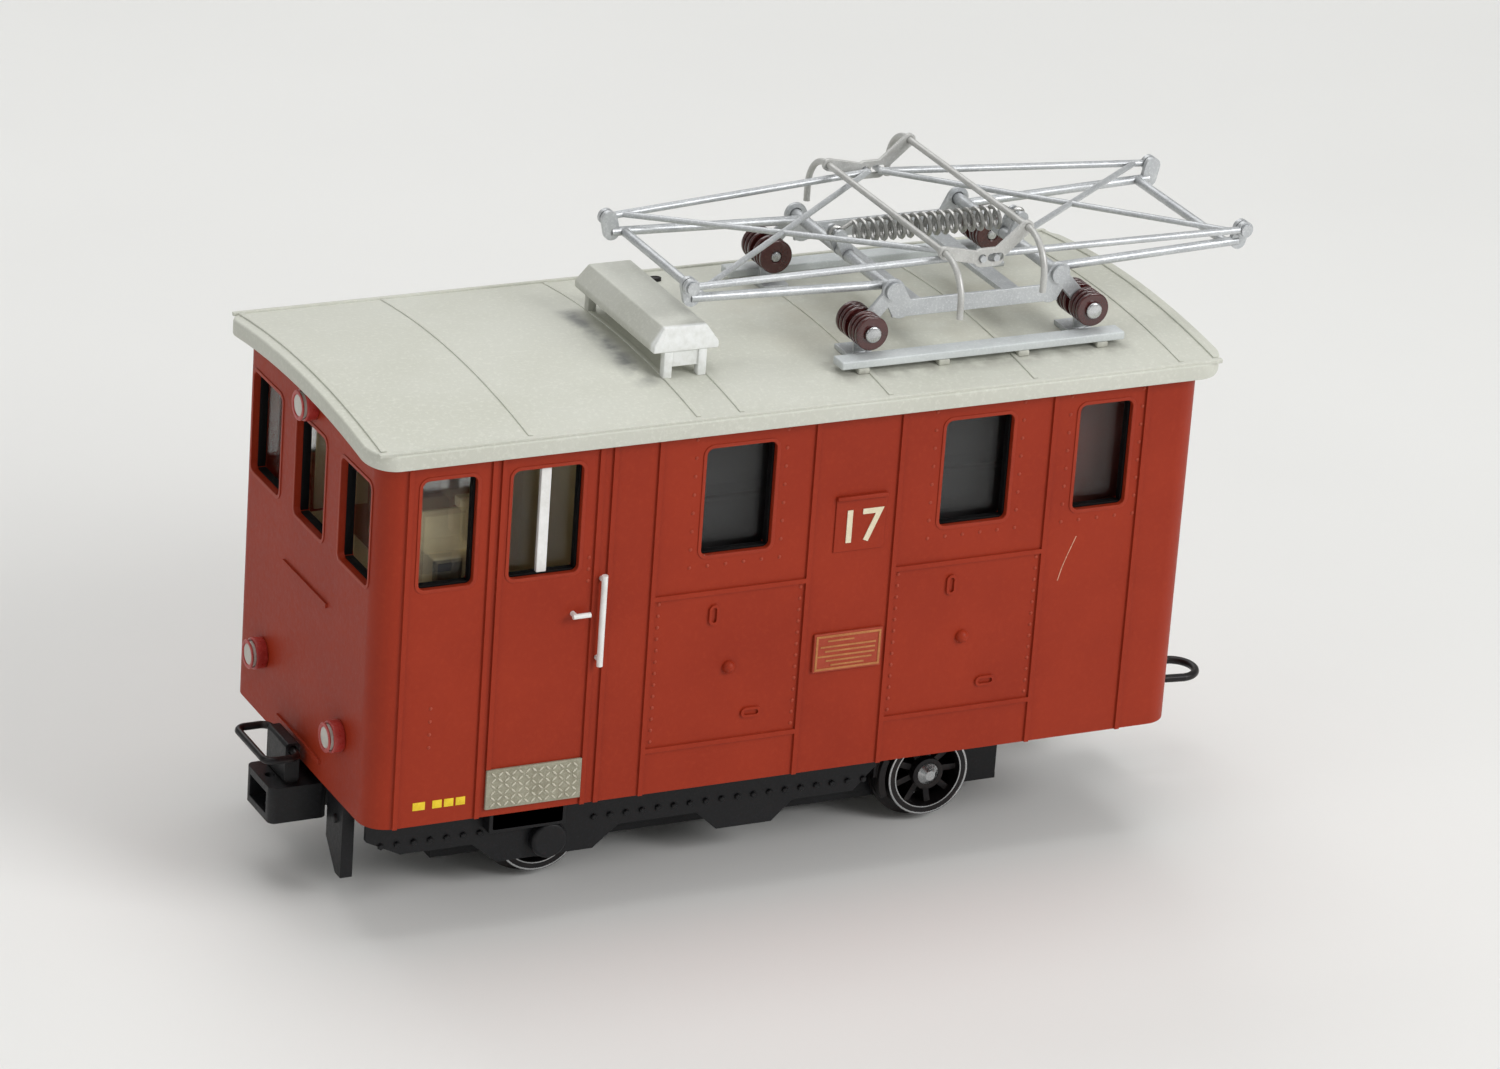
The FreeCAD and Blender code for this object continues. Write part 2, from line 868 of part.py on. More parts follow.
def make_upper_arm():
    x_knee, x_apex = pan_x - knee_dx, pan_x - apex_dx
    pieces = []
    for side in (-1, 1):
        y0, y1 = side * (knee_y - eye_thick / 2), side * (knee_y + eye_thick / 2)
        pieces.append(across(x_knee, knee_z, eye_r, y0, y1))
        start = V(x_knee, side * knee_y, knee_z)
        aim = V(x_apex, side * apex_y, apex_z) - start
        pieces.append(rod(start + aim * (upper_rod_in / aim.Length), V(x_apex, side * apex_y, apex_z),
                          upper_rod_r))
        pieces.append(Part.makeSphere(upper_rod_r, V(x_apex, side * apex_y, apex_z)))
        end = apex_plate_y + apex_plate_thick / 2 + 2 * run_fit
        pieces.append(across(x_apex, apex_z, apex_pin_r, side * apex_y, side * (end + apex_pin_proud)))
        branch = start + aim * (upper_brace_in / aim.Length)
        pieces.append(rod(branch, V(x_apex, -side * apex_y, apex_z), upper_brace_r))
    arm = join(pieces)
    for side in (-1, 1):
        arm = arm.cut(across(x_knee, knee_z, knee_pin_r + run_fit, side * (knee_y - past),
                             side * (knee_y + past)))
    return arm


def bow_point(along, rise):
    tilt = math.radians(bow_tilt)
    return (pan_x + along * math.cos(tilt) - rise * math.sin(tilt),
            apex_z + along * math.sin(tilt) + rise * math.cos(tilt))


def make_apex_plates():
    plates = []
    for side in (-1, 1):
        y0 = side * (apex_plate_y - apex_plate_thick / 2)
        y1 = side * (apex_plate_y + apex_plate_thick / 2)
        pieces = [link_plate(pan_x - apex_dx, apex_z, pan_x + apex_dx, apex_z, apex_plate_r, y0, y1)]
        for along in (-bow_dx, bow_dx):
            x, z = bow_point(along, bow_rise)
            x_pivot = pan_x + math.copysign(apex_dx, along)
            pieces.append(link_plate(x_pivot, apex_z, x, z, bow_clip_r, y0, y1))
        plate = join(pieces)
        for along in (-bow_dx, bow_dx):
            x, z = bow_point(along, bow_rise)
            plate = plate.cut(across(x, z, bow_wire_r + seat, side * (apex_plate_y - past),
                                     side * (apex_plate_y + past)))
        plate = plate.cut(across(pan_x - apex_dx, apex_z, apex_pin_r + run_fit, y0 - side, y1 + side))
        hole = apex_pin_r + run_fit
        slot_left, slot_right = pan_x + apex_dx - slot_play, pan_x + apex_dx + slot_play
        plate = plate.cut(link_plate(slot_left, apex_z, slot_right, apex_z, hole, y0 - side, y1 + side))
        plates.append(plate)
    return plates


def make_collector_bows():
    bows = []
    for along in (-bow_dx, bow_dx):
        x, z = bow_point(along, bow_rise)
        tips = [V(x, side * (bow_half + horn_r), z - horn_r - horn_drop) for side in (-1, 1)]
        knees = [V(x, side * (bow_half + horn_r), z - horn_r) for side in (-1, 1)]
        mids = [V(x, side * (bow_half + horn_r * math.sin(math.pi / 4)),
                  z - horn_r * (1 - math.cos(math.pi / 4)))
                for side in (-1, 1)]
        ends = [V(x, side * bow_half, z) for side in (-1, 1)]
        edges = [Part.LineSegment(tips[0], knees[0]).toShape(),
                 Part.Arc(knees[0], mids[0], ends[0]).toShape(),
                 Part.LineSegment(ends[0], ends[1]).toShape(), Part.Arc(ends[1], mids[1], knees[1]).toShape(),
                 Part.LineSegment(knees[1], tips[1]).toShape()]
        bows.append(swept_wire(edges, bow_wire_r))
    return bows


# wheels, axles and gears

def make_wheel(x):
    back, face = wheel_back, wheel_face
    flange_r = tread_r + flange_depth
    flange = across(x, axle_z, flange_r, back, back + flange_thick)
    tread = across(x, axle_z, tread_r, back, face)
    blank = join([flange, tread])
    bowl = across(x, axle_z, tread_r - rim_thick, back + flange_thick + bowl_web, face + past)
    bowl = bowl.cut(across(x, axle_z, hub_r, back, face + past))
    blank = blank.cut(bowl)
    windows = across(x, axle_z, tread_r - rim_thick, back - past, face + past)
    windows = windows.cut(across(x, axle_z, hub_r, back - past, face + past))
    spokes = []
    for i in range(spoke_count):
        spoke = box(x, x + tread_r - rim_thick / 2, back, back + flange_thick + spoke_depth,
                    axle_z - spoke_wide / 2, axle_z + spoke_wide / 2)
        spoke.rotate(V(x, 0, axle_z), V(0, 1, 0), 360 * i / spoke_count)
        spokes.append(spoke)
    wheel = join([blank.cut(windows)] + spokes)
    return wheel.cut(across(x, axle_z, axle_r + seat, back - past, face + past))


def make_axle(x):
    shaft = across(x, axle_z, axle_r, -wheel_face, wheel_face)
    noses = []
    for side in (-1, 1):
        nose = Part.makeCone(axle_r, axle_nose_r, axle_nose, V(x, side * wheel_face, axle_z), V(0, side, 0))
        noses.append(nose)
    return join([shaft] + noses)


def gear_outline(teeth, tooth_angle, x, z, y):
    """Wire of an involute spur gear in the XZ plane, with a tooth centred on tooth_angle."""
    pitch_r = gear_module * teeth / 2
    base_r = pitch_r * math.cos(math.radians(pressure_angle))
    tip_r = pitch_r + gear_module
    root_r = pitch_r - 1.25 * gear_module
    start_r = max(base_r, root_r)

    def roll(radius):
        turn = math.sqrt(max((radius / base_r) ** 2 - 1, 0))
        return turn - math.atan(turn)

    half_tooth = math.pi / (2 * teeth) - backlash / (2 * pitch_r)
    steps = 5
    radii = [start_r + (tip_r - start_r) * i / (steps - 1) for i in range(steps)]
    flank = [(r, half_tooth + roll(pitch_r) - roll(r)) for r in radii]
    points = []
    for i in range(teeth):
        centre = math.radians(tooth_angle) + 2 * math.pi * i / teeth
        rising = [(root_r, -flank[0][1])] if root_r < start_r else []
        rising += [(r, -a) for r, a in flank]
        for r, a in rising + [(r, -a) for r, a in reversed(rising)]:
            points.append(V(x + r * math.cos(centre + a), y, z + r * math.sin(centre + a)))
    return Part.makePolygon(points + points[:1])


def make_gear(teeth, tooth_angle, z, y0, bore):
    blank = Part.Face(gear_outline(teeth, tooth_angle, axle_x, z, y0)).extrude(V(0, gear_face, 0))
    return blank.cut(across(axle_x, z, bore, y0 - past, y0 + gear_face + past)) if bore else blank


def make_axle_gear():
    return [make_gear(axle_teeth, 90, axle_z, gear_y, axle_r + seat)]


def make_idler_gear():
    y_large = gear_y + gear_face + gear_gap
    small = make_gear(idler_small_teeth, 270 + 180 / idler_small_teeth, idler_z, gear_y, 0)
    large = make_gear(idler_large_teeth, 90, idler_z, y_large, 0)
    reach = inner_frame_y + inner_frame_thick
    arbor = across(axle_x, idler_z, idler_arbor_r, -reach, reach)
    collar = across(axle_x, idler_z, 2 * idler_arbor_r, gear_y, y_large)
    return [join([small, large, collar, arbor])]


def make_motor_shaft():
    y_large = gear_y + gear_face + gear_gap
    pinion = make_gear(pinion_teeth, 270 + 180 / pinion_teeth, motor_z, y_large, 0)
    shaft = across(axle_x, motor_z, motor_shaft_r, gear_y - gear_gap - flywheel_long - shaft_end,
                   motor_y + motor_long / 2)
    return [join([pinion, shaft])]


def make_flywheel():
    y_end = gear_y - gear_gap
    disc = across(axle_x, motor_z, flywheel_r, y_end - flywheel_long, y_end)
    return [disc.cut(across(axle_x, motor_z, motor_shaft_r + seat, y_end - flywheel_long - past,
                            y_end + past))]


def make_motor_can():
    can = across(axle_x, motor_z, motor_r, motor_y, motor_y + motor_long)
    cap = across(axle_x, motor_z, motor_r * 0.85, motor_y + motor_long, motor_y + motor_long + motor_cap)
    bore = across(axle_x, motor_z, motor_shaft_r + run_fit, motor_y - past,
                  motor_y + motor_long / 2 + run_fit)
    return [join([can, cap]).cut(bore)]


def make_motor_cradle():
    half = motor_r + cradle_wall
    y0 = motor_y + (motor_long - cradle_long) / 2 + cradle_shift
    block = box(axle_x - half, axle_x + half, y0, y0 + cradle_long, floor_top, floor_top + cradle_high)
    return [block.cut(across(axle_x, motor_z, motor_r + seat, y0 - past, y0 + cradle_long + past))]


# underframe

def gear_well(y_half, z0, z1):
    return box(axle_x - gear_well_half, axle_x + gear_well_half, -y_half, y_half, z0, z1)


def make_chassis_floor():
    plate = rounded_box(-inner_long + floor_gap, inner_long - floor_gap, -inner_wide + floor_gap,
                        inner_wide - floor_gap, floor_low, floor_top, V(0, 0, 1), corner_r - wall)
    well = inner_frame_y + inner_frame_thick + run_fit
    plate = plate.cut(gear_well(well, floor_low - past, floor_top + past))
    studs = []
    for side in (-1, 1):
        studs.append(upright(side * coupler_pivot_x, 0, coupler_pivot_r, shank_low - run_fit, floor_low))
        studs.append(upright(side * coupler_pivot_x, 0, shank_half, shank_low - run_fit - stud_flange_thick,
                             shank_low - run_fit))
    plate = join([plate] + studs)
    for sx in (-1, 1):
        for sy in (-1, 1):
            plate = plate.cut(upright(sx * screw_x, sy * screw_y, screw_r + seat, floor_low - past,
                                      floor_top + past))
    return [plate]


def make_chassis_screws():
    screws = []
    for sx in (-1, 1):
        for sy in (-1, 1):
            x, y = sx * screw_x, sy * screw_y
            head = upright(x, y, screw_head_r, floor_low - screw_head, floor_low)
            slot = box(x - screw_head_r, x + screw_head_r, y - screw_slot / 2, y + screw_slot / 2,
                       floor_low - screw_head - past, floor_low - screw_head + screw_slot_deep)
            shank = upright(x, y, screw_r, floor_low, floor_top)
            screws.append(join([head.cut(slot), shank]))
    return screws


def make_inner_frames():
    plates = []
    for side in (-1, 1):
        y0, y1 = side * inner_frame_y, side * (inner_frame_y + inner_frame_thick)
        plate = box(-inner_frame_long / 2, inner_frame_long / 2, y0, y1, inner_frame_low, floor_low)
        bearing = box(axle_x - idler_bearing_half, axle_x + idler_bearing_half, y0, y1, floor_low,
                      idler_z + idler_bearing_high)
        plate = join([plate, bearing])
        for x in (-axle_x, axle_x):
            plate = plate.cut(across(x, axle_z, axle_r + run_fit, y0 - side, y1 + side))
        plates.append(plate.cut(across(axle_x, idler_z, idler_arbor_r + run_fit, y0 - side, y1 + side)))
    return plates


def make_frame_spacers():
    spacers = []
    clear = gear_well_half
    for x0, x1 in ((-inner_frame_long / 2, -axle_x - clear), (-axle_x + clear, axle_x - clear),
                   (axle_x + clear, inner_frame_long / 2)):
        spacers.append(box(x0, x1, -inner_frame_y, inner_frame_y, inner_frame_low + spacer_up, floor_low))
    return spacers


def make_keeper_plate():
    reach = inner_frame_y + inner_frame_thick
    plate = box(-inner_frame_long / 2, inner_frame_long / 2, -reach, reach, inner_frame_low - keeper_thick,
                inner_frame_low)
    return [plate.cut(gear_well(inner_frame_y - keeper_lap, 0, inner_frame_low + past))]


def make_outer_frames():
    low, deep = outer_frame_low, horn_guide_low
    guide_left, guide_right = -axle_x - horn_guide_half, -axle_x + horn_guide_half
    points = [(outer_frame_left, floor_low), (outer_frame_left, low + frame_end_high),
              (outer_frame_left + frame_end_slope, low), (guide_left - horn_guide_slope,
                                                          low), (guide_left, deep),
              (guide_right, deep), (guide_right + horn_guide_slope, low), (frame_drop_left, low),
              (frame_drop_left + frame_drop_slope, frame_drop_low),
              (frame_drop_right - frame_drop_slope, frame_drop_low), (frame_drop_right, low),
              (outer_frame_right - frame_tail, low), (outer_frame_right, low + frame_tail),
              (outer_frame_right, floor_low)]
    return both_sides([outline_xz(points, -outer_frame_y, -outer_frame_y - outer_frame_thick)])


def make_axle_boxes():
    face = -outer_frame_y - outer_frame_thick
    cover = across(-axle_x, axle_z, axle_box_r, face, face - axle_box_proud)
    edge = [e for e in cover.Edges if e.isClosed() and abs(e.CenterOfMass.y - (face - axle_box_proud)) < 1e-6]
    return both_sides([cover.makeFillet(axle_box_proud / 3, edge)])


def make_step_boxes():
    face = -outer_frame_y - outer_frame_thick
    left, right = step_box_x - step_box_long / 2, step_box_x + step_box_long / 2
    low = axle_z + axle_box_r + seat
    high = low + step_box_high
    body = box(left, right, face, face - step_box_proud, low, high)
    recess = box(left + step_rim, right - step_rim, face - step_box_proud + step_box_deep,
                 face - step_box_proud - past, low + step_rim, high - step_rim)
    return both_sides([body.cut(recess)])


def make_rail_guards():
    front = -guard_x - guard_thick
    edge = [(-guard_in, floor_low), (-guard_half, floor_low), (-guard_half, guard_low),
            (-guard_half + guard_foot, guard_low), (-guard_in, guard_low + guard_rise)]
    points = [V(-guard_x, y, z) for y, z in edge]
    plate = Part.Face(Part.makePolygon(points + points[:1])).extrude(V(-guard_thick, 0, 0))
    bolt = rod(V(-guard_x, -guard_bolt_y, guard_bolt_z), V(front - guard_bolt, -guard_bolt_y, guard_bolt_z),
               guard_bolt_r)
    near = join([plate, bolt])
    return [near, near.mirror(V(0, 0, 0), V(0, 1, 0))]


def make_brake_shoes():
    y_in = -(wheel_back + flange_thick + brake_back_gap)
    y_out = y_in - brake_wide
    inner = tread_r + brake_gap
    outer = inner + brake_thick
    inside = across(axle_x, axle_z, inner, y_in + past, y_out - past)
    ring = across(axle_x, axle_z, outer, y_in, y_out).cut(inside)
    reach = outer * math.tan(math.radians(brake_half_angle))
    wedge = outline_xz([(axle_x, axle_z), (axle_x - 2 * outer, axle_z - 2 * reach),
                        (axle_x - 2 * outer, axle_z + 2 * reach)], y_in + past, y_out - past)
    mid = (y_in + y_out) / 2
    hanger = box(axle_x - outer - hanger_thick / 2, axle_x - outer + hanger_thick / 2, mid - hanger_wide / 2,
                 mid + hanger_wide / 2, axle_z, floor_low)
    shoe = join([ring.common(wedge), hanger.cut(inside)])
    return both_ends(both_sides([shoe]))


# inside the body

def make_cab_lining():
    bulkhead = box(cab_wall_x, cab_wall_x + cab_wall_thick, -inner_wide + floor_gap, inner_wide - floor_gap,
                   floor_top, roof_crest)
    bulkhead = bulkhead.common(roof_cylinder(roof_curve - roof_thick - seat))
    deck = box(-inner_long + floor_gap, cab_wall_x, -inner_wide + floor_gap, inner_wide - floor_gap,
               floor_top, floor_top + cab_floor_thick)
    return [join([bulkhead, deck])]


def make_cab_desk():
    left = -inner_long + glass_thick + desk_gap
    low = floor_top + cab_floor_thick
    base = box(left, left + desk_deep, -desk_wide / 2, desk_wide / 2, low, desk_top)
    return [fillet_along(base, V(0, 1, 0), desk_round)]


def make_cab_controller():
    low = floor_top + cab_floor_thick
    hub = V(controller_x, controller_y, controller_top + wheel_stem)
    drum = upright(controller_x, controller_y, controller_r, low, controller_top)
    stem = upright(controller_x, controller_y, wheel_wire_r, controller_top, hub.z)
    rim = Part.makeTorus(wheel_rim_r, wheel_wire_r, hub, V(0, 0, 1))
    spokes = []
    for angle in (0, 120, 240):
        turn = math.radians(angle)
        spokes.append(rod(hub, hub + V(wheel_rim_r * math.cos(turn), wheel_rim_r * math.sin(turn), 0),
                          wheel_spoke_r))
    return [join([drum, stem, rim] + spokes)]


def make_ballast_weight():
    block = box(ballast_left, ballast_right, -ballast_wide / 2, ballast_wide / 2, floor_top,
                floor_top + ballast_high)
    return [fillet_along(block, V(0, 0, 1), ballast_round)]


def make_circuit_board():
    low = floor_top + ballast_high
    top = low + board_pcb_thick
    half = ballast_wide / 2 - board_inset
    board = box(ballast_left + board_inset, ballast_right - board_inset, -half, half, low, top)
    mid = (ballast_left + ballast_right) / 2
    chips = []
    for x in (mid - chip_pitch, mid, mid + chip_pitch):
        chips.append(box(x - chip_long / 2, x + chip_long / 2, -chip_wide / 2, chip_wide / 2, top,
                         top + chip_high))
    return [join([board] + chips)]


def make_pickup_wipers():
    reach = inner_frame_y + inner_frame_thick
    strips = []
    for x0 in (-axle_x, axle_x - wiper_long):
        strips.append(box(x0, x0 + wiper_long, -reach - wiper_thick, -reach, axle_z + wiper_up,
                          axle_z + wiper_up + wiper_high))
    return both_sides(strips)


# couplers

def coupler_head():
    head = box(-coupler_head_front, -coupler_head_back, -coupler_half, coupler_half, coupler_low,
               coupler_high)
    head = fillet_along(head, V(0, 0, 1), coupler_round)
    shank = box(-coupler_head_back, -coupler_pivot_x, -shank_half, shank_half, shank_low, shank_high)
    pad = upright(-coupler_pivot_x, 0, shank_half, shank_low, shank_high)
    mouth = box(-coupler_head_front - past, -coupler_head_front + mouth_deep, -mouth_half, mouth_half,
                link_z - mouth_high / 2, link_z + mouth_high / 2)
    head = join([head, shank, pad]).cut(mouth)
    return head.cut(upright(-coupler_pivot_x, 0, coupler_pivot_r + run_fit, shank_low - past,
                            shank_high + past))


def make_coupler_head_front():
    block = box(-bail_x - bail_block_long / 2, -bail_x + bail_block_long / 2, -bail_block_half,
                bail_block_half,
                coupler_high, bail_z + 2 * bail_r)
    head = join([coupler_head(), fillet_along(block, V(0, 1, 0), bail_r)])
    head = head.cut(across(-bail_x, bail_z, bail_r + run_fit, -coupler_half - past, coupler_half + past))
    return [head.cut(upright(-coupling_pin_x, 0, coupling_pin_r, coupler_low - past, coupler_high + past))]


def make_coupler_bail_front():
    bend = bail_corner_r * (1 - math.sin(math.pi / 4))
    hoop = []
    for side in (-1, 1):
        end = V(-bail_x, side * bail_end_gap, bail_z)
        hinge = V(-bail_x, side * (bail_half - bail_corner_r), bail_z)
        hinge_mid = V(-bail_x - bend, side * (bail_half - bend), bail_z)
        back = V(-bail_x - bail_corner_r, side * bail_half, bail_z)
        front = V(-bail_reach + bail_corner_r, side * bail_half, bail_z)
        front_mid = V(-bail_reach + bend, side * (bail_half - bend), bail_z)
        nose = V(-bail_reach, side * (bail_half - bail_corner_r), bail_z)
        edges = [Part.LineSegment(end, hinge).toShape(), Part.Arc(hinge, hinge_mid, back).toShape(),
                 Part.LineSegment(back, front).toShape(), Part.Arc(front, front_mid, nose).toShape(),
                 Part.LineSegment(nose, V(-bail_reach, 0, bail_z)).toShape()]
        hoop.append(swept_wire(edges, bail_r))
    return [join(hoop)]


def make_coupler_head_rear():
    head = other_end(coupler_head())
    return [head.cut(upright(coupling_pin_x, 0, link_pin_r, coupler_low - past, coupler_high + past))]


def make_coupler_pin_rear():
    shank = upright(coupling_pin_x, 0, link_pin_r - seat, coupler_low, coupler_high)
    return [join([shank, upright(coupling_pin_x, 0, link_pin_head_r, coupler_high,
                                 coupler_high + link_pin_head)])]


def make_coupler_link_rear():
    z = link_z
    left = coupling_pin_x - link_pin_r - run_fit - link_r
    small = link_tail_half
    a, b = left + small, link_reach - link_half
    edges = [Part.Arc(V(a, -small, z), V(left, 0, z), V(a, small, z)).toShape(),
             Part.LineSegment(V(a, small, z), V(b, link_half, z)).toShape(),
             Part.Arc(V(b, link_half, z), V(link_reach, 0, z), V(b, -link_half, z)).toShape(),
             Part.LineSegment(V(b, -link_half, z), V(a, -small, z)).toShape()]
    return [swept_wire(edges, link_r)]


os.makedirs("parts", exist_ok=True)

save("body_shell", make_body_shell())
save("roof", make_roof())
save("window_frames", make_window_frames())
save("side_glazing", make_side_glazing())
save("end_glazing", make_end_glazing())
save("door_window_bars", make_door_window_bars())
save("door_grab_rails", make_door_grab_rails())
save("door_handles", make_door_handles())
save("door_tread_plates", make_door_tread_plates())
save("number_plates", make_number_plates())
save("works_plates", make_works_plates())
save("side_fittings", make_side_fittings())
save("headlamp_housings", make_headlamp_housings())
save("headlamp_lenses", make_headlamp_lenses())
save("roof_vent", make_roof_vent())
save("roof_vent_feet", make_roof_vent_feet())
save("roof_boards", make_roof_boards())
save("roof_board_blocks", make_roof_board_blocks())
save("insulators", make_insulators())
save("insulator_pins", make_insulator_pins())
save("pantograph_posts", make_pantograph_posts())
save("pantograph_frame", make_pantograph_frame())
save("pantograph_spring", make_pantograph_spring())
lower_left, lower_right = left_and_right(make_lower_arm())
upper_left, upper_right = left_and_right(make_upper_arm())
save("lower_arm_left", [lower_left])
save("lower_arm_right", [lower_right])
save("upper_arm_left", [upper_left])
save("upper_arm_right", [upper_right])
save("apex_plates", make_apex_plates())
save("collector_bows", make_collector_bows())
for end, x in (("front", -axle_x), ("rear", axle_x)):
    save("axle_" + end, [make_axle(x)])
    save("wheels_" + end, both_sides([make_wheel(x)]))
save("axle_gear", make_axle_gear())
save("idler_gear", make_idler_gear())
save("motor_shaft", make_motor_shaft())
save("flywheel", make_flywheel())
save("motor_can", make_motor_can())
save("motor_cradle", make_motor_cradle())
save("chassis_floor", make_chassis_floor())
save("chassis_screws", make_chassis_screws())
save("inner_frames", make_inner_frames())
save("frame_spacers", make_frame_spacers())
save("keeper_plate", make_keeper_plate())
save("outer_frames", make_outer_frames())
save("axle_boxes", make_axle_boxes())
save("step_boxes", make_step_boxes())
save("rail_guards", make_rail_guards())
save("brake_shoes", make_brake_shoes())
save("cab_lining", make_cab_lining())
save("cab_desk", make_cab_desk())
save("cab_controller", make_cab_controller())
save("ballast_weight", make_ballast_weight())
save("circuit_board", make_circuit_board())
save("pickup_wipers", make_pickup_wipers())
save("coupler_head_front", make_coupler_head_front())
save("coupler_bail_front", make_coupler_bail_front())
save("coupler_head_rear", make_coupler_head_rear())
save("coupler_pin_rear", make_coupler_pin_rear())
save("coupler_link_rear", make_coupler_link_rear())
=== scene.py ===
import json
import math

import bpy
from mathutils import Matrix, Vector


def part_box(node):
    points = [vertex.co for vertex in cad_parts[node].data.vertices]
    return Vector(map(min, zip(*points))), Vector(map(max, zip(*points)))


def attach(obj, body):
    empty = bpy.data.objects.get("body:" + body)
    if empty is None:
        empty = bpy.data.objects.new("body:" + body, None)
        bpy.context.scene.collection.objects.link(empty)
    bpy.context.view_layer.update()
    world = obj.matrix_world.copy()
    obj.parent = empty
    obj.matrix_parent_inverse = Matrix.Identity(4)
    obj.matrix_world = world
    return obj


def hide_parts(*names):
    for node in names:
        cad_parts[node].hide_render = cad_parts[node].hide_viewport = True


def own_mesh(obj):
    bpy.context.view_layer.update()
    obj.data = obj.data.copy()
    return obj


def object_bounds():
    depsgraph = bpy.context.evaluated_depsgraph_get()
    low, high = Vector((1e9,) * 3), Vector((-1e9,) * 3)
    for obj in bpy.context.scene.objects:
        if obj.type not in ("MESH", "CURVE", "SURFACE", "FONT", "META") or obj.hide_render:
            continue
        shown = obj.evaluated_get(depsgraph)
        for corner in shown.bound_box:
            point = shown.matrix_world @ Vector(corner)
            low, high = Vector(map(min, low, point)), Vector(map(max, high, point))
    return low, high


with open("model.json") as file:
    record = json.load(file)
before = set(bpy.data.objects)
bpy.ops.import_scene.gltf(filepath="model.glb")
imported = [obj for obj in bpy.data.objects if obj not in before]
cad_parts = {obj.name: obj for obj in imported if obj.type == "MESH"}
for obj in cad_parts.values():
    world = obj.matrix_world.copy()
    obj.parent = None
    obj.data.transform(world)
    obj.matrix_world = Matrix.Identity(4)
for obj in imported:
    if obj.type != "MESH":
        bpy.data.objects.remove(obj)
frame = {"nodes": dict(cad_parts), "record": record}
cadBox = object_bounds()
nodes = frame["nodes"]
bodyOf = {node: body for body, members in frame["record"]["behaviour"]["bodies"].items() for node in members}
slotOf = {row["node"]: row["material_slot"] for row in frame["record"]["subparts"]}
mm = 0.001
print("frame loaded:", len(nodes), "parts")


# finishes

def paint(hexCode):  # sRGB hex to the linear values that the shader takes
    out = []
    for i in (0, 2, 4):
        c = int(hexCode[i:i + 2], 16) / 255
        out.append(c / 12.92 if c <= 0.04045 else ((c + 0.055) / 1.055) ** 2.4)
    return out + [1.0]


def addNode(tree, kind, settings=None, links=None):
    node = tree.nodes.new(kind)
    for key, value in (settings or {}).items():
        if isinstance(key, int) or key in node.inputs:
            node.inputs[key].default_value = value
        else:
            setattr(node, key, value)
    for key, source in (links or {}).items():
        tree.links.new(source, node.inputs[key])
    return node


def perMetre(size):  # a noise scale whose pattern repeats about once per size in mm
    return 1 / (size * mm)


def finish(name, look):
    # mottle and grain are the sizes in mm of the broad and the fine pattern, relief the fine one's height
    # in mm, and the corner entry a colour that ambient occlusion mixes into corners and hollows, painted
    # shade where it is darker than the coat and dust where lighter: its reach in mm and its share
    material = bpy.data.materials.new(name)
    material.use_nodes = True
    tree = material.node_tree
    tree.nodes.clear()
    where = addNode(tree, "ShaderNodeTexCoord").outputs["Object"]
    broad = addNode(tree, "ShaderNodeTexNoise",
                    {"Scale": perMetre(look["mottle"]), "Detail": 5.0, "Roughness": 0.6}, {"Vector": where})
    grain = addNode(tree, "ShaderNodeTexNoise",
                    {"Scale": perMetre(look["grain"]), "Detail": 3.0, "Roughness": 0.7}, {"Vector": where})
    patch = addNode(tree, "ShaderNodeMapRange", {"From Min": 0.36, "From Max": 0.66},
                    {"Value": broad.outputs[0]})
    speck = addNode(tree, "ShaderNodeMapRange",
                    {"From Min": 0.5, "From Max": 0.75, "To Max": look.get("speckShare", 0.5)},
                    {"Value": grain.outputs[0]})
    tone = addNode(tree, "ShaderNodeMix",
                   {"data_type": "RGBA", 6: paint(look["colour"]), 7: paint(look["shade"])},
                   {0: patch.outputs[0]})
    tone = addNode(tree, "ShaderNodeMix", {"data_type": "RGBA", 7: paint(look["speck"])},
                   {0: speck.outputs[0], 6: tone.outputs[2]})
    for paintedPatch in look.get("paintedPatches", []):
        tone = addPaintedPatch(tree, where, tone, paintedPatch)
    # painted shade: ambient occlusion darkens the corners and hollows (lighter dust on the black finishes)
    if "cornerDirtAndShade" in look:
        near = addNode(tree, "ShaderNodeAmbientOcclusion",
                       {"Distance": look["cornerDirtAndShade"]["reach"] * mm, "only_local": True, "samples": 8})
        dirtAndShadeShare = addNode(tree, "ShaderNodeMapRange",
                       {"From Min": 0.35, "From Max": 0.95, "To Min": look["cornerDirtAndShade"]["share"], "To Max": 0.0},
                       {"Value": near.outputs["AO"]})
        tone = addNode(tree, "ShaderNodeMix", {"data_type": "RGBA", 7: paint(look["cornerDirtAndShade"]["colour"])},
                       {0: dirtAndShadeShare.outputs[0], 6: tone.outputs[2]})
    low, high = look["roughness"]
    rough = addNode(tree, "ShaderNodeMapRange",
                    {"From Min": 0.3, "From Max": 0.7, "To Min": low, "To Max": high},
                    {"Value": grain.outputs[0]})
    relief = addNode(tree, "ShaderNodeBump", {"Strength": 1.0, "Distance": look["relief"] * mm},
                     {"Height": grain.outputs[0]})
    shader = addNode(tree, "ShaderNodeBsdfPrincipled",
                     dict({"Metallic": 0.0, "IOR": 1.5}, **look.get("shader", {})),
                     {"Base Color": tone.outputs[2], "Roughness": rough.outputs[0],
                      "Normal": relief.outputs[0]})
    addNode(tree, "ShaderNodeOutputMaterial", {}, {"Surface": shader.outputs[0]})
    material.diffuse_color = paint(look["colour"])
    return material


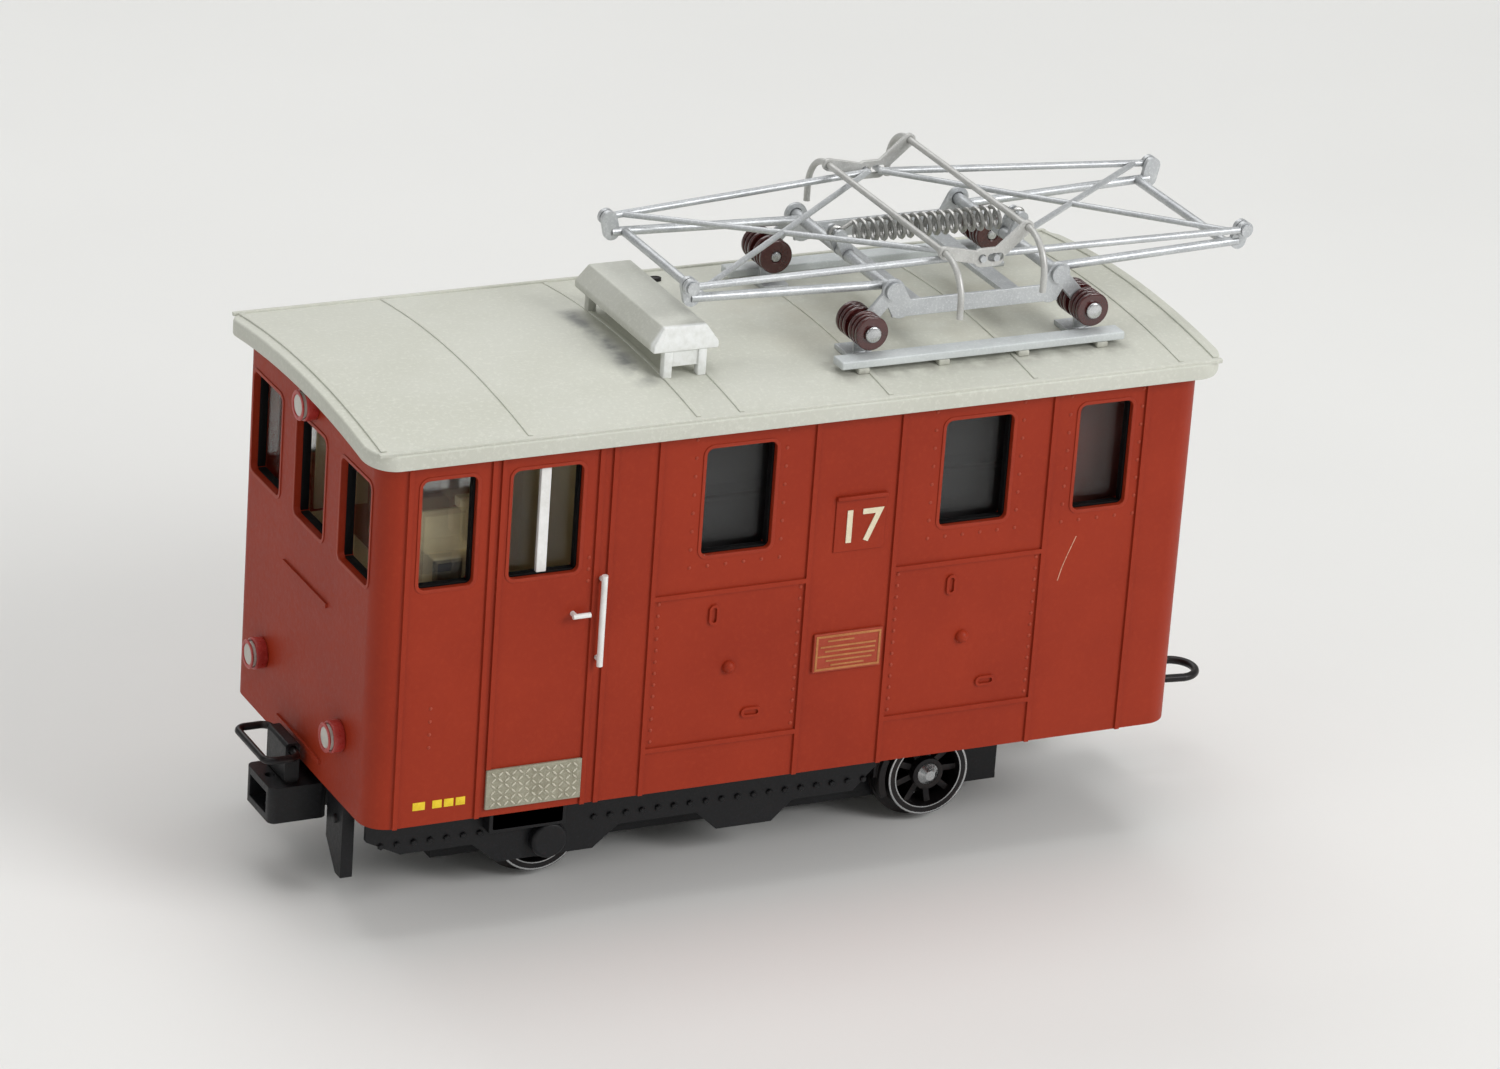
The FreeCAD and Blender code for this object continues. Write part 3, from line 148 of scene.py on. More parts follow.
def addPaintedPatch(tree, where, tone, paintedPatch):
    # a soft-edged patch of painted light, darker for shade and lighter for a highlight: low and high are the
    # corners of its box in mm, soft the width of its edge, and below a set level of the noise, which repeats
    # once per break in mm, the coat keeps its own colour
    split = addNode(tree, "ShaderNodeSeparateXYZ", {}, {0: where})
    share = None
    for axis in range(3):
        for edge, sign in ((paintedPatch["low"][axis], 1), (paintedPatch["high"][axis], -1)):
            ramp = addNode(tree, "ShaderNodeMapRange",
                           {"interpolation_type": "SMOOTHSTEP",
                            "From Min": (edge - sign * paintedPatch["soft"]) * mm,
                            "From Max": (edge + sign * paintedPatch["soft"]) * mm},
                           {"Value": split.outputs[axis]})
            if share is None:
                share = ramp.outputs[0]
            else:
                share = addNode(tree, "ShaderNodeMath", {"operation": "MULTIPLY"},
                                {0: share, 1: ramp.outputs[0]}).outputs[0]
    breakNoise = addNode(tree, "ShaderNodeTexNoise", {"Scale": perMetre(paintedPatch["break"]), "Detail": 4.0},
                  {"Vector": where})
    broken = addNode(tree, "ShaderNodeMapRange",
                     {"From Min": paintedPatch.get("clearBelow", 0.38), "From Max": 0.6, "To Max": paintedPatch["share"]},
                     {"Value": breakNoise.outputs[0]})
    share = addNode(tree, "ShaderNodeMath", {"operation": "MULTIPLY"}, {0: share, 1: broken.outputs[0]})
    return addNode(tree, "ShaderNodeMix", {"data_type": "RGBA", 7: paint(paintedPatch["colour"])},
                   {0: share.outputs[0], 6: tone.outputs[2]})


looks = {
    # moulded ABS with a sprayed satin coat: even red-brown, a fine speckle where the spray dried, painted
    # shade in its corners
    "sprayedOxideRed": {"colour": "9C3118", "shade": "932C15", "speck": "A83D22", "mottle": 9, "grain": 0.35,
                        "relief": 0.012, "roughness": (0.42, 0.55), "speckShare": 0.35,
                        "cornerDirtAndShade": {"colour": "7C2814", "reach": 0.4, "share": 0.25},
                        "shader": {"Specular IOR Level": 0.2}},
    # the same coat on the thin rims and knobs, where it pools and looks deeper
    "pooledOxideRed": {"colour": "9E3319", "shade": "952D16", "speck": "A83D22", "mottle": 4, "grain": 0.3,
                       "relief": 0.008, "roughness": (0.38, 0.5), "shader": {"Specular IOR Level": 0.24}},
    # raised heads and edges where the red coat has rubbed thin
    # a lighter copy of the red coat on raised heads and edges: a painted highlight
    "highlitRed": {"colour": "A6422C", "shade": "9E3A24", "speck": "B4543C", "mottle": 1.2, "grain": 0.2,
                  "relief": 0.006, "roughness": (0.4, 0.55), "shader": {"Specular IOR Level": 0.3}},
    # bare plastic under a scratch
    "scratchedCoat": {"colour": "D09A80", "shade": "B87A60", "speck": "E4B49C", "mottle": 0.5, "grain": 0.1,
                      "relief": 0.004, "roughness": (0.5, 0.6)},
    # moulded ABS sprayed light grey: dry and chalky, with a painted shadow beside the vent's left edge,
    # painted shade under the near walkway and in the corners, and a broken brownish darkening under the
    # pantograph
    "sprayedRoofGrey": {"colour": "CDCEC4", "shade": "C6C7BB", "speck": "DFE0D6", "mottle": 14, "grain": 0.28,
                        "relief": 0.016, "roughness": (0.5, 0.66), "speckShare": 0.6,
                        "cornerDirtAndShade": {"colour": "8F8E84", "reach": 0.7, "share": 0.28},
                        "paintedPatches": [{"low": (-9.9, -7.5, 34), "high": (-8.6, 5.5, 36), "soft": 0.6,
                                    "break": 2.5, "colour": "6E6F70", "share": 0.8},
                                   {"low": (1, -6, 34), "high": (26, 6, 36), "soft": 3.0, "break": 3.0,
                                    "colour": "A9A28F", "share": 0.5},
                                   {"low": (3, -10, 34), "high": (24.5, -7, 36), "soft": 0.8, "break": 1.2,
                                    "colour": "96948C", "share": 0.55}]},
    # the vent's own coat, with a painted highlight on its near side and painted shade in its corners
    "sprayedVentGrey": {"colour": "CACBC3", "shade": "C2C3BA", "speck": "DDDED6", "mottle": 6, "grain": 0.24,
                        "relief": 0.014, "roughness": (0.46, 0.6), "speckShare": 0.5,
                        "cornerDirtAndShade": {"colour": "77776F", "reach": 0.6, "share": 0.5},
                        "paintedPatches": [{"low": (-12, -12, 33), "high": (-2, -6.45, 40), "soft": 0.2, "break": 0.5,
                                    "clearBelow": -0.25, "colour": "F6F8F8", "share": 0.85}]},
    # zinc casting with brushed-on silver lacquer: flakes glint, edges stay bright, corners carry painted
    # shade
    "silverLacquer": {"colour": "C6C9CB", "shade": "B6B9BC", "speck": "EDEFF0", "mottle": 2.2, "grain": 0.16,
                      "relief": 0.02, "roughness": (0.3, 0.5), "speckShare": 0.6,
                      "cornerDirtAndShade": {"colour": "4A4A4C", "reach": 0.5, "share": 0.75},
                      "shader": {"Metallic": 0.55}},
    # the same lacquer brushed thinly on the wire collector: nearly white, hardly any glint, painted shade in
    # corners
    "brushedSilver": {"colour": "C9C9C6", "shade": "B9B9B6", "speck": "E6E6E4", "mottle": 1.6, "grain": 0.14,
                      "relief": 0.014, "roughness": (0.34, 0.5), "speckShare": 0.5,
                      "cornerDirtAndShade": {"colour": "6A6A68", "reach": 0.35, "share": 0.5},
                      "shader": {"Metallic": 0.35}},
    # walkway planks: a dry coat a little whiter and cooler than the roof, painted shade in the corners
    "walkwayGrey": {"colour": "D3D8D9", "shade": "C4C9CA", "speck": "E8ECEC", "mottle": 3, "grain": 0.2,
                    "relief": 0.02, "roughness": (0.45, 0.6), "speckShare": 0.5,
                    "cornerDirtAndShade": {"colour": "8C8E8C", "reach": 0.5, "share": 0.4}},
    # drawn nickel-silver wire, dulled by handling
    "drawnWire": {"colour": "B4B4B2", "shade": "9D9C98", "speck": "D8D8D6", "mottle": 1.5, "grain": 0.12,
                  "relief": 0.006, "roughness": (0.24, 0.42), "shader": {"Metallic": 0.9}},
    # turned steel: bright with fine tool marks
    "turnedSteel": {"colour": "C6C7C8", "shade": "AEB0B2", "speck": "E8E8E8", "mottle": 2, "grain": 0.1,
                    "relief": 0.004, "roughness": (0.18, 0.32), "shader": {"Metallic": 1.0}},
    # chemically blackened steel: blue-black with a brown bloom
    "blackenedSteel": {"colour": "1E1D20", "shade": "262120", "speck": "3A3534", "mottle": 1.6, "grain": 0.2,
                       "relief": 0.008, "roughness": (0.28, 0.45), "shader": {"Metallic": 0.5},
                       "cornerDirtAndShade": {"colour": "3A332C", "reach": 0.4, "share": 0.4}},
    # matt black ABS of the chassis: greyish on the flats, dusty in the corners
    "mouldedBlack": {"colour": "111215", "shade": "161618", "speck": "2A2A30", "mottle": 3, "grain": 0.22,
                     "relief": 0.014, "roughness": (0.36, 0.52), "shader": {"Specular IOR Level": 0.34},
                     "cornerDirtAndShade": {"colour": "211F1C", "reach": 0.6, "share": 0.5}},
    # glazed stoneware imitation: dark chestnut, wet shine
    "glazedChestnut": {"colour": "4A1A18", "shade": "3A1212", "speck": "63302C", "mottle": 1.2, "grain": 0.3,
                       "relief": 0.004, "roughness": (0.14, 0.24), "shader": {"Coat Weight": 0.6}},
    # clear acrylic: faint haze on the moulded face
    "clearAcrylic": {"colour": "E9EEEC", "shade": "DFE5E3", "speck": "F4F6F5", "mottle": 3, "grain": 0.5,
                     "relief": 0.003, "roughness": (0.03, 0.09),
                     "shader": {"Transmission Weight": 1.0, "IOR": 1.49, "Alpha": 0.35}},
    # milky lamp lens
    "lampLens": {"colour": "F2EFE6", "shade": "E4E0D4", "speck": "FFFFFF", "mottle": 0.8, "grain": 0.2,
                 "relief": 0.01, "roughness": (0.1, 0.2), "shader": {"Transmission Weight": 0.35}},
    # the lamps' bright red mouldings
    "lampRed": {"colour": "B23A34", "shade": "9C2A26", "speck": "C65A50", "mottle": 1, "grain": 0.2,
                "relief": 0.008, "roughness": (0.25, 0.4)},
    "whiteEnamel": {"colour": "F0F0EE", "shade": "E2E2DE", "speck": "FAFAFA", "mottle": 1.5, "grain": 0.2,
                    "relief": 0.006, "roughness": (0.3, 0.42)},
    # etched plate, pale and dry, with painted shade in its corners and hollows
    "etchedTread": {"colour": "9C9986", "shade": "8A8673", "speck": "BDBAA9", "mottle": 1.2, "grain": 0.16,
                    "relief": 0.015, "roughness": (0.42, 0.6), "speckShare": 0.6,
                    "cornerDirtAndShade": {"colour": "6F6B58", "reach": 0.3, "share": 0.8}},
    "wornTread": {"colour": "CFCBBA", "shade": "BDB9A7", "speck": "E6E3D6", "mottle": 0.8, "grain": 0.14,
                  "relief": 0.006, "roughness": (0.35, 0.5), "shader": {"Metallic": 0.2}},
    # a lighter copy of the cab cream for the mouldings nearest the window, painted light on parts in shade
    "litCream": {"colour": "F2E2B4", "shade": "E6D4A4", "speck": "FAEEC8", "mottle": 2, "grain": 0.2,
                  "relief": 0.008, "roughness": (0.45, 0.6)},
    # the cab cream, with painted shade in its corners and hollows
    "creamPlastic": {"colour": "CDBB8A", "shade": "C2AE7C", "speck": "DCCB9E", "mottle": 4, "grain": 0.3,
                     "relief": 0.01, "roughness": (0.45, 0.6),
                     "cornerDirtAndShade": {"colour": "8C7A4E", "reach": 1.0, "share": 0.5}},
    # painted shade: near-black for the unlit inside behind the side windows and under the cab shelf
    "shadeLining": {"colour": "1B1B1C", "shade": "222123", "speck": "333235", "mottle": 4, "grain": 0.35,
                   "relief": 0.02, "roughness": (0.6, 0.8)},
    # painted shade: a shaded copy of the red for the unlit red inside seen through the last windows
    "shadedRedLining": {"colour": "6E3429", "shade": "602C22", "speck": "7E4034", "mottle": 4, "grain": 0.35,
                     "relief": 0.01, "roughness": (0.5, 0.65)},
    # painted shade: black for the shaded reveals of the window openings
    "revealShade": {"colour": "0A0A0B", "shade": "0E0E0F", "speck": "161617", "mottle": 2, "grain": 0.3,
                   "relief": 0.004, "roughness": (0.6, 0.75), "shader": {"Specular IOR Level": 0.15}},
    "castZinc": {"colour": "7E7F80", "shade": "6C6D6E", "speck": "9A9A9A", "mottle": 2.5, "grain": 0.2,
                 "relief": 0.02, "roughness": (0.4, 0.55), "shader": {"Metallic": 0.8}},
    "turnedBrass": {"colour": "C49A48", "shade": "AD8438", "speck": "E0BE74", "mottle": 2, "grain": 0.12,
                    "relief": 0.004, "roughness": (0.2, 0.34), "shader": {"Metallic": 1.0}},
    "goldInk": {"colour": "BC7A45", "shade": "AE6A3A", "speck": "D09A66", "mottle": 0.7, "grain": 0.1,
                "relief": 0.004, "roughness": (0.35, 0.5), "shader": {"Metallic": 0.3}},
    "yellowInk": {"colour": "F2D21E", "shade": "E3C010", "speck": "FFE860", "mottle": 0.7, "grain": 0.1,
                  "relief": 0.003, "roughness": (0.4, 0.55)},
    "creamInk": {"colour": "E6DCC0", "shade": "DCD0B0", "speck": "F2EBD6", "mottle": 0.7, "grain": 0.1,
                 "relief": 0.003, "roughness": (0.4, 0.55)},
    "lacqueredBoard": {"colour": "1F5A34", "shade": "18492A", "speck": "2F7848", "mottle": 2, "grain": 0.2,
                       "relief": 0.006, "roughness": (0.2, 0.35)},
    "nylonGear": {"colour": "DAD6C6", "shade": "CECAB8", "speck": "E8E5DA", "mottle": 2, "grain": 0.2,
                  "relief": 0.006, "roughness": (0.35, 0.5)},
}
finishes = {name: finish(name, look) for name, look in looks.items()}
print("finishes made:", len(finishes))

finishOfSlot = {
    "body_red": "sprayedOxideRed", "roof_grey": "sprayedRoofGrey", "frame_red": "pooledOxideRed",
    "clear_glazing": "clearAcrylic", "white_paint": "whiteEnamel", "tread_grey": "etchedTread",
    "lamp_red": "lampRed", "lamp_lens": "lampLens", "silver_paint": "silverLacquer",
    "insulator_brown": "glazedChestnut", "bright_steel": "turnedSteel", "chassis_black": "mouldedBlack",
    "cast_grey": "castZinc", "brass": "turnedBrass", "black_steel": "blackenedSteel",
    "cab_cream": "creamPlastic", "board_green": "lacqueredBoard", "gear_white": "nylonGear",
}
for name, piece in nodes.items():
    piece.data.materials.clear()
    piece.data.materials.append(finishes[finishOfSlot[slotOf[name]]])

finishOfNode = {  # parts that differ from the rest of their slot
    "collector_bows": "brushedSilver", "apex_plates": "brushedSilver", "works_plates": "highlitRed",
    "roof_boards": "walkwayGrey", "roof_vent": "sprayedVentGrey", "roof_vent_feet": "sprayedVentGrey",
}
for name, finishName in finishOfNode.items():
    nodes[name].data.materials[0] = finishes[finishName]


# modelling helpers

# points nearer than the weld in mm are one; flat, crease and smooth are angles in degrees between faces:
# below flat they merge, above crease their edge is rounded, and below smooth it is shaded over
softening = {"weld": 0.0005, "flat": 1, "crease": 32, "steps": 2, "weight": 50, "smooth": 35}
madeWeld = 0.0008  # the weld of the pieces made here


def only(piece):
    bpy.ops.object.select_all(action="DESELECT")
    piece.select_set(True)
    bpy.context.view_layer.objects.active = piece


def dress(piece, name, body, finishName=None):
    piece.name = name
    piece.data.name = name
    if finishName:
        piece.data.materials.clear()
        piece.data.materials.append(finishes[finishName])
    only(piece)
    bpy.ops.object.transform_apply(location=True, rotation=True, scale=True)
    bpy.ops.object.shade_smooth_by_angle(angle=math.radians(softening["smooth"]))
    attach(piece, body)


def applyModifier(piece, kind, settings):
    only(piece)
    modifier = piece.modifiers.new(kind.title(), kind)
    for key, value in settings.items():
        setattr(modifier, key, value)
    bpy.ops.object.modifier_apply(modifier=modifier.name)


def soften(node, width, name):
    # the part again, with its moulded edges rounded
    piece = bpy.data.objects.new(name, nodes[node].data.copy())
    bpy.context.scene.collection.objects.link(piece)
    only(piece)
    bpy.ops.object.mode_set(mode="EDIT")
    bpy.ops.mesh.select_all(action="SELECT")
    bpy.ops.mesh.remove_doubles(threshold=softening["weld"] * mm)
    bpy.ops.mesh.dissolve_limited(angle_limit=math.radians(softening["flat"]))
    bpy.ops.object.mode_set(mode="OBJECT")
    applyModifier(piece, "BEVEL", {"width": width * mm, "segments": softening["steps"],
                                   "limit_method": "ANGLE", "angle_limit": math.radians(softening["crease"]),
                                   "use_clamp_overlap": True, "miter_outer": "MITER_ARC"})
    dress(piece, name, bodyOf[node])
    applyModifier(piece, "WEIGHTED_NORMAL", {"keep_sharp": True, "weight": softening["weight"]})
    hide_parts(node)


def joined(pieces):
    bpy.ops.object.select_all(action="DESELECT")
    for piece in pieces:
        piece.select_set(True)
    bpy.context.view_layer.objects.active = pieces[0]
    bpy.ops.object.join()
    return pieces[0]


def copyAt(piece, place, turn=0.0, axis="Y"):
    twin = bpy.data.objects.new(piece.name, piece.data.copy())
    bpy.context.scene.collection.objects.link(twin)
    twin.data.transform(Matrix.Translation(Vector(place) * mm) @ Matrix.Rotation(turn, 4, axis))
    return twin


def drop(piece):
    bpy.data.objects.remove(piece)


# camera, floor and lamps

# places, sizes and distances in mm, angles in degrees
view = {"target": (2.5, 0.0, 20.0), "distance": 424.6, "azimuth": 26.915, "elevation": 22.883,
        "roll": 4.172, "lens": 155.0, "sensor": 36.0, "clip": (10, 20000)}
studio = {"floor": {"tones": ("EEEEEC", "E6E6E4"), "wide": 6000, "mottle": 60, "roughness": 0.65},
          "world": {"colour": "F4F4F2", "strength": 0.38},
          "key": {"place": (300, -420, 330), "size": 260, "power": 1.9},
          "fill": {"place": (-420, -160, 300), "size": 320, "power": 0.3},
          "back": {"place": (40, 420, 380), "size": 300, "power": 0.5},
          "top": {"place": (20, 60, 560), "size": 360, "power": 1.0}}


def addCamera(parts):
    azimuth, elevation = math.radians(parts["azimuth"]), math.radians(parts["elevation"])
    look = Vector((math.sin(azimuth) * math.cos(elevation), math.cos(azimuth) * math.cos(elevation),
                   -math.sin(elevation)))
    place = (Vector(parts["target"]) - look * parts["distance"]) * mm
    bpy.ops.object.camera_add(location=place)
    camera = bpy.context.object
    turn = look.to_track_quat("-Z", "Y").to_matrix() @ Matrix.Rotation(math.radians(parts["roll"]), 3, "Z")
    camera.rotation_euler = turn.to_euler()
    camera.data.sensor_width = parts["sensor"]
    camera.data.lens = parts["lens"]
    camera.data.clip_start, camera.data.clip_end = [reach * mm for reach in parts["clip"]]
    bpy.context.scene.camera = camera


def addLamp(name, parts):
    bpy.ops.object.light_add(type="AREA", location=Vector(parts["place"]) * mm)
    lamp = bpy.context.object
    lamp.name = name
    lamp.data.size = parts["size"] * mm
    lamp.data.energy = parts["power"]
    aim = Vector(view["target"]) - Vector(parts["place"])
    lamp.rotation_euler = aim.to_track_quat("-Z", "Y").to_euler()


def addFloor(parts):
    bpy.ops.mesh.primitive_plane_add(size=parts["wide"] * mm, location=(0, 0, cadBox[0][2]))
    floor = bpy.context.object
    floor.name = "paleFloor"
    material = bpy.data.materials.new("paleFloor")
    material.use_nodes = True
    tree = material.node_tree
    shader = tree.nodes["Principled BSDF"]
    where = addNode(tree, "ShaderNodeTexCoord").outputs["Object"]
    cloud = addNode(tree, "ShaderNodeTexNoise", {"Scale": perMetre(parts["mottle"]), "Detail": 3.0},
                    {"Vector": where})
    first, second = parts["tones"]
    tone = addNode(tree, "ShaderNodeMix", {"data_type": "RGBA", 6: paint(first), 7: paint(second)},
                   {0: cloud.outputs[0]})
    tree.links.new(tone.outputs[2], shader.inputs["Base Color"])
    shader.inputs["Roughness"].default_value = parts["roughness"]
    floor.data.materials.append(material)


def addWorld(parts):
    world = bpy.data.worlds.new("studioWorld")
    world.use_nodes = True
    background = world.node_tree.nodes["Background"]
    background.inputs["Color"].default_value = paint(parts["colour"])
    background.inputs["Strength"].default_value = parts["strength"]
    bpy.context.scene.world = world


addCamera(view)
addFloor(studio["floor"])
addWorld(studio["world"])
for lampName in ("key", "fill", "back", "top"):
    addLamp(lampName + "Lamp", studio[lampName])
bpy.context.scene.view_settings.view_transform = "Standard"
print("camera, floor and lamps set")


# parts whose moulded edges are rounded: the rounding's width in mm and the new piece's name

softEdges = {
    "body_shell": (0.07, "bodyMoulding"), "roof": (0.16, "roofMoulding"),
    "window_frames": (0.07, "windowRims"), "door_window_bars": (0.06, "doorBars"),
    "door_tread_plates": (0.05, "treadPlateBases"), "number_plates": (0.06, "numberPanels"),
    "works_plates": (0.05, "worksPlateBases"), "headlamp_housings": (0.12, "lampHousings"),
    "roof_vent": (0.1, "ventHood"), "roof_vent_feet": (0.06, "ventFeet"),
    "roof_boards": (0.1, "walkwayBoards"), "roof_board_blocks": (0.08, "walkwayBlocks"),
    "insulators": (0.08, "insulatorBobbins"), "insulator_pins": (0.1, "insulatorPins"),
    "pantograph_posts": (0.06, "collectorPosts"), "pantograph_frame": (0.07, "collectorFrame"),
    "apex_plates": (0.05, "apexPlates"), "outer_frames": (0.06, "outerFrames"),
    "step_boxes": (0.07, "stepBoxes"), "rail_guards": (0.08, "railGuards"),
    "coupler_head_front": (0.12, "frontCouplerHead"), "coupler_head_rear": (0.12, "rearCouplerHead"),
    "wheels_front": (0.05, "frontWheels"), "wheels_rear": (0.05, "rearWheels"),
    "brake_shoes": (0.06, "brakeShoes"), "inner_frames": (0.08, "innerFrames"),
}
for node, (width, name) in softEdges.items():
    soften(node, width, name)
print("edges softened on", len(softEdges), "parts")


# modelling steps that several pieces share

sideFace = 11.82  # half the body's width in mm
roof = {"axis": -49.9, "radius": 85.0, "steps": 24}  # the skin's curve, by its axis's height and its radius


def sizedPlane(name, place, size, turn):
    bpy.ops.mesh.primitive_plane_add(size=1.0, location=Vector(place) * mm, rotation=turn)
    piece = bpy.context.object
    piece.name = name
    piece.scale = (size[0] * mm, size[1] * mm, 1.0)
    bpy.ops.object.transform_apply(location=True, rotation=True, scale=True)
    return piece


def sizedBlock(name, low, high, edge):
    # a block between two corners in mm, its edges cut back by edge
    low, high = Vector(low) * mm, Vector(high) * mm
    bpy.ops.mesh.primitive_cube_add(size=1.0, location=(low + high) / 2)
    piece = bpy.context.object
    piece.name = name
    piece.scale = high - low
    bpy.ops.object.transform_apply(location=True, rotation=True, scale=True)
    bpy.ops.object.mode_set(mode="EDIT")
    bpy.ops.mesh.select_all(action="SELECT")
    bpy.ops.mesh.bevel(offset=edge * mm, segments=2, affect="EDGES")
    bpy.ops.object.mode_set(mode="OBJECT")
    return piece


def closeUp(piece):
    only(piece)
    bpy.ops.object.mode_set(mode="EDIT")
    bpy.ops.mesh.select_all(action="SELECT")
    bpy.ops.mesh.remove_doubles(threshold=madeWeld * mm)
    bpy.ops.mesh.fill_holes(sides=0)
    bpy.ops.mesh.normals_make_consistent(inside=False)
    bpy.ops.object.mode_set(mode="OBJECT")


def turnTo(axis):
    return Vector((0, 0, 1)).rotation_difference(Vector(axis)).to_matrix().to_4x4()


def turned(name, place, axis, radius, profile, segments=24):
    # a turned piece, closed at both ends: the profile's rows are a share of the radius and its distance
    # in mm along the axis, and the first row lies at place
    share, along = profile[0]
    bpy.ops.mesh.primitive_circle_add(vertices=segments, radius=radius * share * mm, fill_type="NGON",
                                      location=(0, 0, 0))
    piece = bpy.context.object
    piece.name = name
    bpy.ops.object.mode_set(mode="EDIT")
    bpy.ops.mesh.select_all(action="SELECT")
    for nextShare, nextAlong in profile[1:]:
        bpy.ops.mesh.extrude_region_move(TRANSFORM_OT_translate={"value": (0, 0, (nextAlong - along) * mm)})
        if nextShare != share:
            ratio = nextShare / share
            bpy.ops.transform.resize(value=(ratio, ratio, 1), center_override=(0, 0, 0))
        share, along = nextShare, nextAlong
    bpy.ops.object.mode_set(mode="OBJECT")
    piece.data.transform(Matrix.Translation(Vector(place) * mm) @ turnTo(axis))
    closeUp(piece)
    return piece


def flatRing(name, place, axis, radius, wire, flat, segments=48):
    # a ring round an axis, its wire pressed flat along that axis
    bpy.ops.mesh.primitive_torus_add(major_radius=radius * mm, minor_radius=wire * mm,
                                     major_segments=segments, minor_segments=8, location=(0, 0, 0))
    ring = bpy.context.object
    ring.name = name
    bpy.ops.object.mode_set(mode="EDIT")
    bpy.ops.mesh.select_all(action="SELECT")
    bpy.ops.transform.resize(value=(1, 1, flat), center_override=(0, 0, 0))
    bpy.ops.object.mode_set(mode="OBJECT")
    ring.data.transform(Matrix.Translation(Vector(place) * mm) @ turnTo(axis))
    return ring


def bothSides(pieces):
    # the same pieces again, mirrored on the far side
    twins = [copyAt(piece, (0, 0, 0)) for piece in pieces]
    for twin in twins:
        twin.data.transform(Matrix.Scale(-1, 4, (0, 1, 0)))
        twin.data.flip_normals()
    return pieces + twins


def roofStrip(name, left, right, low, high, nearY, farY, steps):
    # a strip laid over the roof's curve: low and high are its lower and upper face's heights over the skin
    reach = roof["radius"] + (low + high) / 2
    piece = sizedPlane(name, ((left + right) / 2, 0, roof["axis"] + reach), (right - left, high - low),
                       (math.pi / 2, 0, 0))
    start, end = math.asin(nearY / roof["radius"]), math.asin(farY / roof["radius"])
    middle = Vector((0, 0, roof["axis"])) * mm
    piece.data.transform(Matrix.Translation(middle) @ Matrix.Rotation(-start, 4, "X") @
                         Matrix.Translation(-middle))
    bpy.ops.object.mode_set(mode="EDIT")
    bpy.ops.mesh.select_all(action="SELECT")
    bpy.ops.mesh.spin(steps=steps, angle=end - start, center=middle, axis=(1, 0, 0))
    bpy.ops.object.mode_set(mode="OBJECT")
    closeUp(piece)
    return piece


# roof: standing seams across the sheets, rims at the ends, rain strips along the edges, a bolt hole

roofTrim = {"seams": [-19.3, -7.8, -4.8, 5.7, 16.1, 26.8], "seamWide": 0.34, "seamHigh": 0.09, "reach": 12.1,
            "ends": [(-29.35, -28.95), (29.15, 29.5)], "endHigh": 0.12,
            "rain": (12.25, 12.6), "rainLong": (-29.6, 29.6), "rainHigh": 0.14, "rainSteps": 2,
            "sink": 0.12, "edge": 0.05,
            "hole": {"x": -0.8, "y": 10.0, "radius": 0.42,
                     "profile": [(1.0, 0.0), (1.0, 0.2), (0.82, 0.23), (0.7, 0.17)]}}


def makeRoofTrim(parts):
    low, reach, half = -parts["sink"], parts["reach"], parts["seamWide"] / 2
    across = [(x - half, x + half, parts["seamHigh"]) for x in parts["seams"]]
    across += [(left, right, parts["endHigh"]) for left, right in parts["ends"]]
    strips = [roofStrip("seam", left, right, low, high, -reach, reach, roof["steps"])
              for left, right, high in across]
    left, right = parts["rainLong"]
    near, far = parts["rain"]
    for nearY, farY in ((near, far), (-far, -near)):
        strips.append(roofStrip("rain", left, right, low, parts["rainHigh"], nearY, farY, parts["rainSteps"]))
    trim = joined(strips)
    applyModifier(trim, "BEVEL", {"width": parts["edge"] * mm, "segments": 2, "limit_method": "ANGLE"})
    dress(trim, "roofSeams", "locomotive", "sprayedRoofGrey")
    hole = parts["hole"]
    place = (hole["x"], hole["y"], roof["axis"] + math.sqrt(roof["radius"] ** 2 - hole["y"] ** 2))
    dress(turned("hole", place, (0, hole["y"] / roof["radius"], 1), hole["radius"], hole["profile"]),
          "roofBoltHole", "locomotive", "blackenedSteel")


makeRoofTrim(roofTrim)
print("roof trim made")


# rivets: low round heads beside the panel seams and round the windows

# columns are x, low, high and pitch, windows and corners an x and a width
rivets = {"radius": 0.13, "profile": [(1.0, 0.0), (1.0, 0.05), (0.72, 0.095), (0.3, 0.115)], "sink": 0.04,
          "segments": 8,
          "columns": [(-25.0, 13.6, 17.2, 0.9), (-9.6, 11.9, 21.6, 0.8), (0.4, 11.9, 21.6, 0.8),
                      (7.4, 11.9, 21.6, 0.8), (17.45, 11.9, 21.6, 0.8)],
          "windows": [(-4.46, 4.9), (12.48, 4.9), (21.7, 3.85)], "windowLow": 24.504, "windowHigh": 7.35,
          "off": 0.72, "pitch": 1.2, "corners": [(-17.8, 4.8)], "cornerPitch": 0.8, "cornerCount": 3}


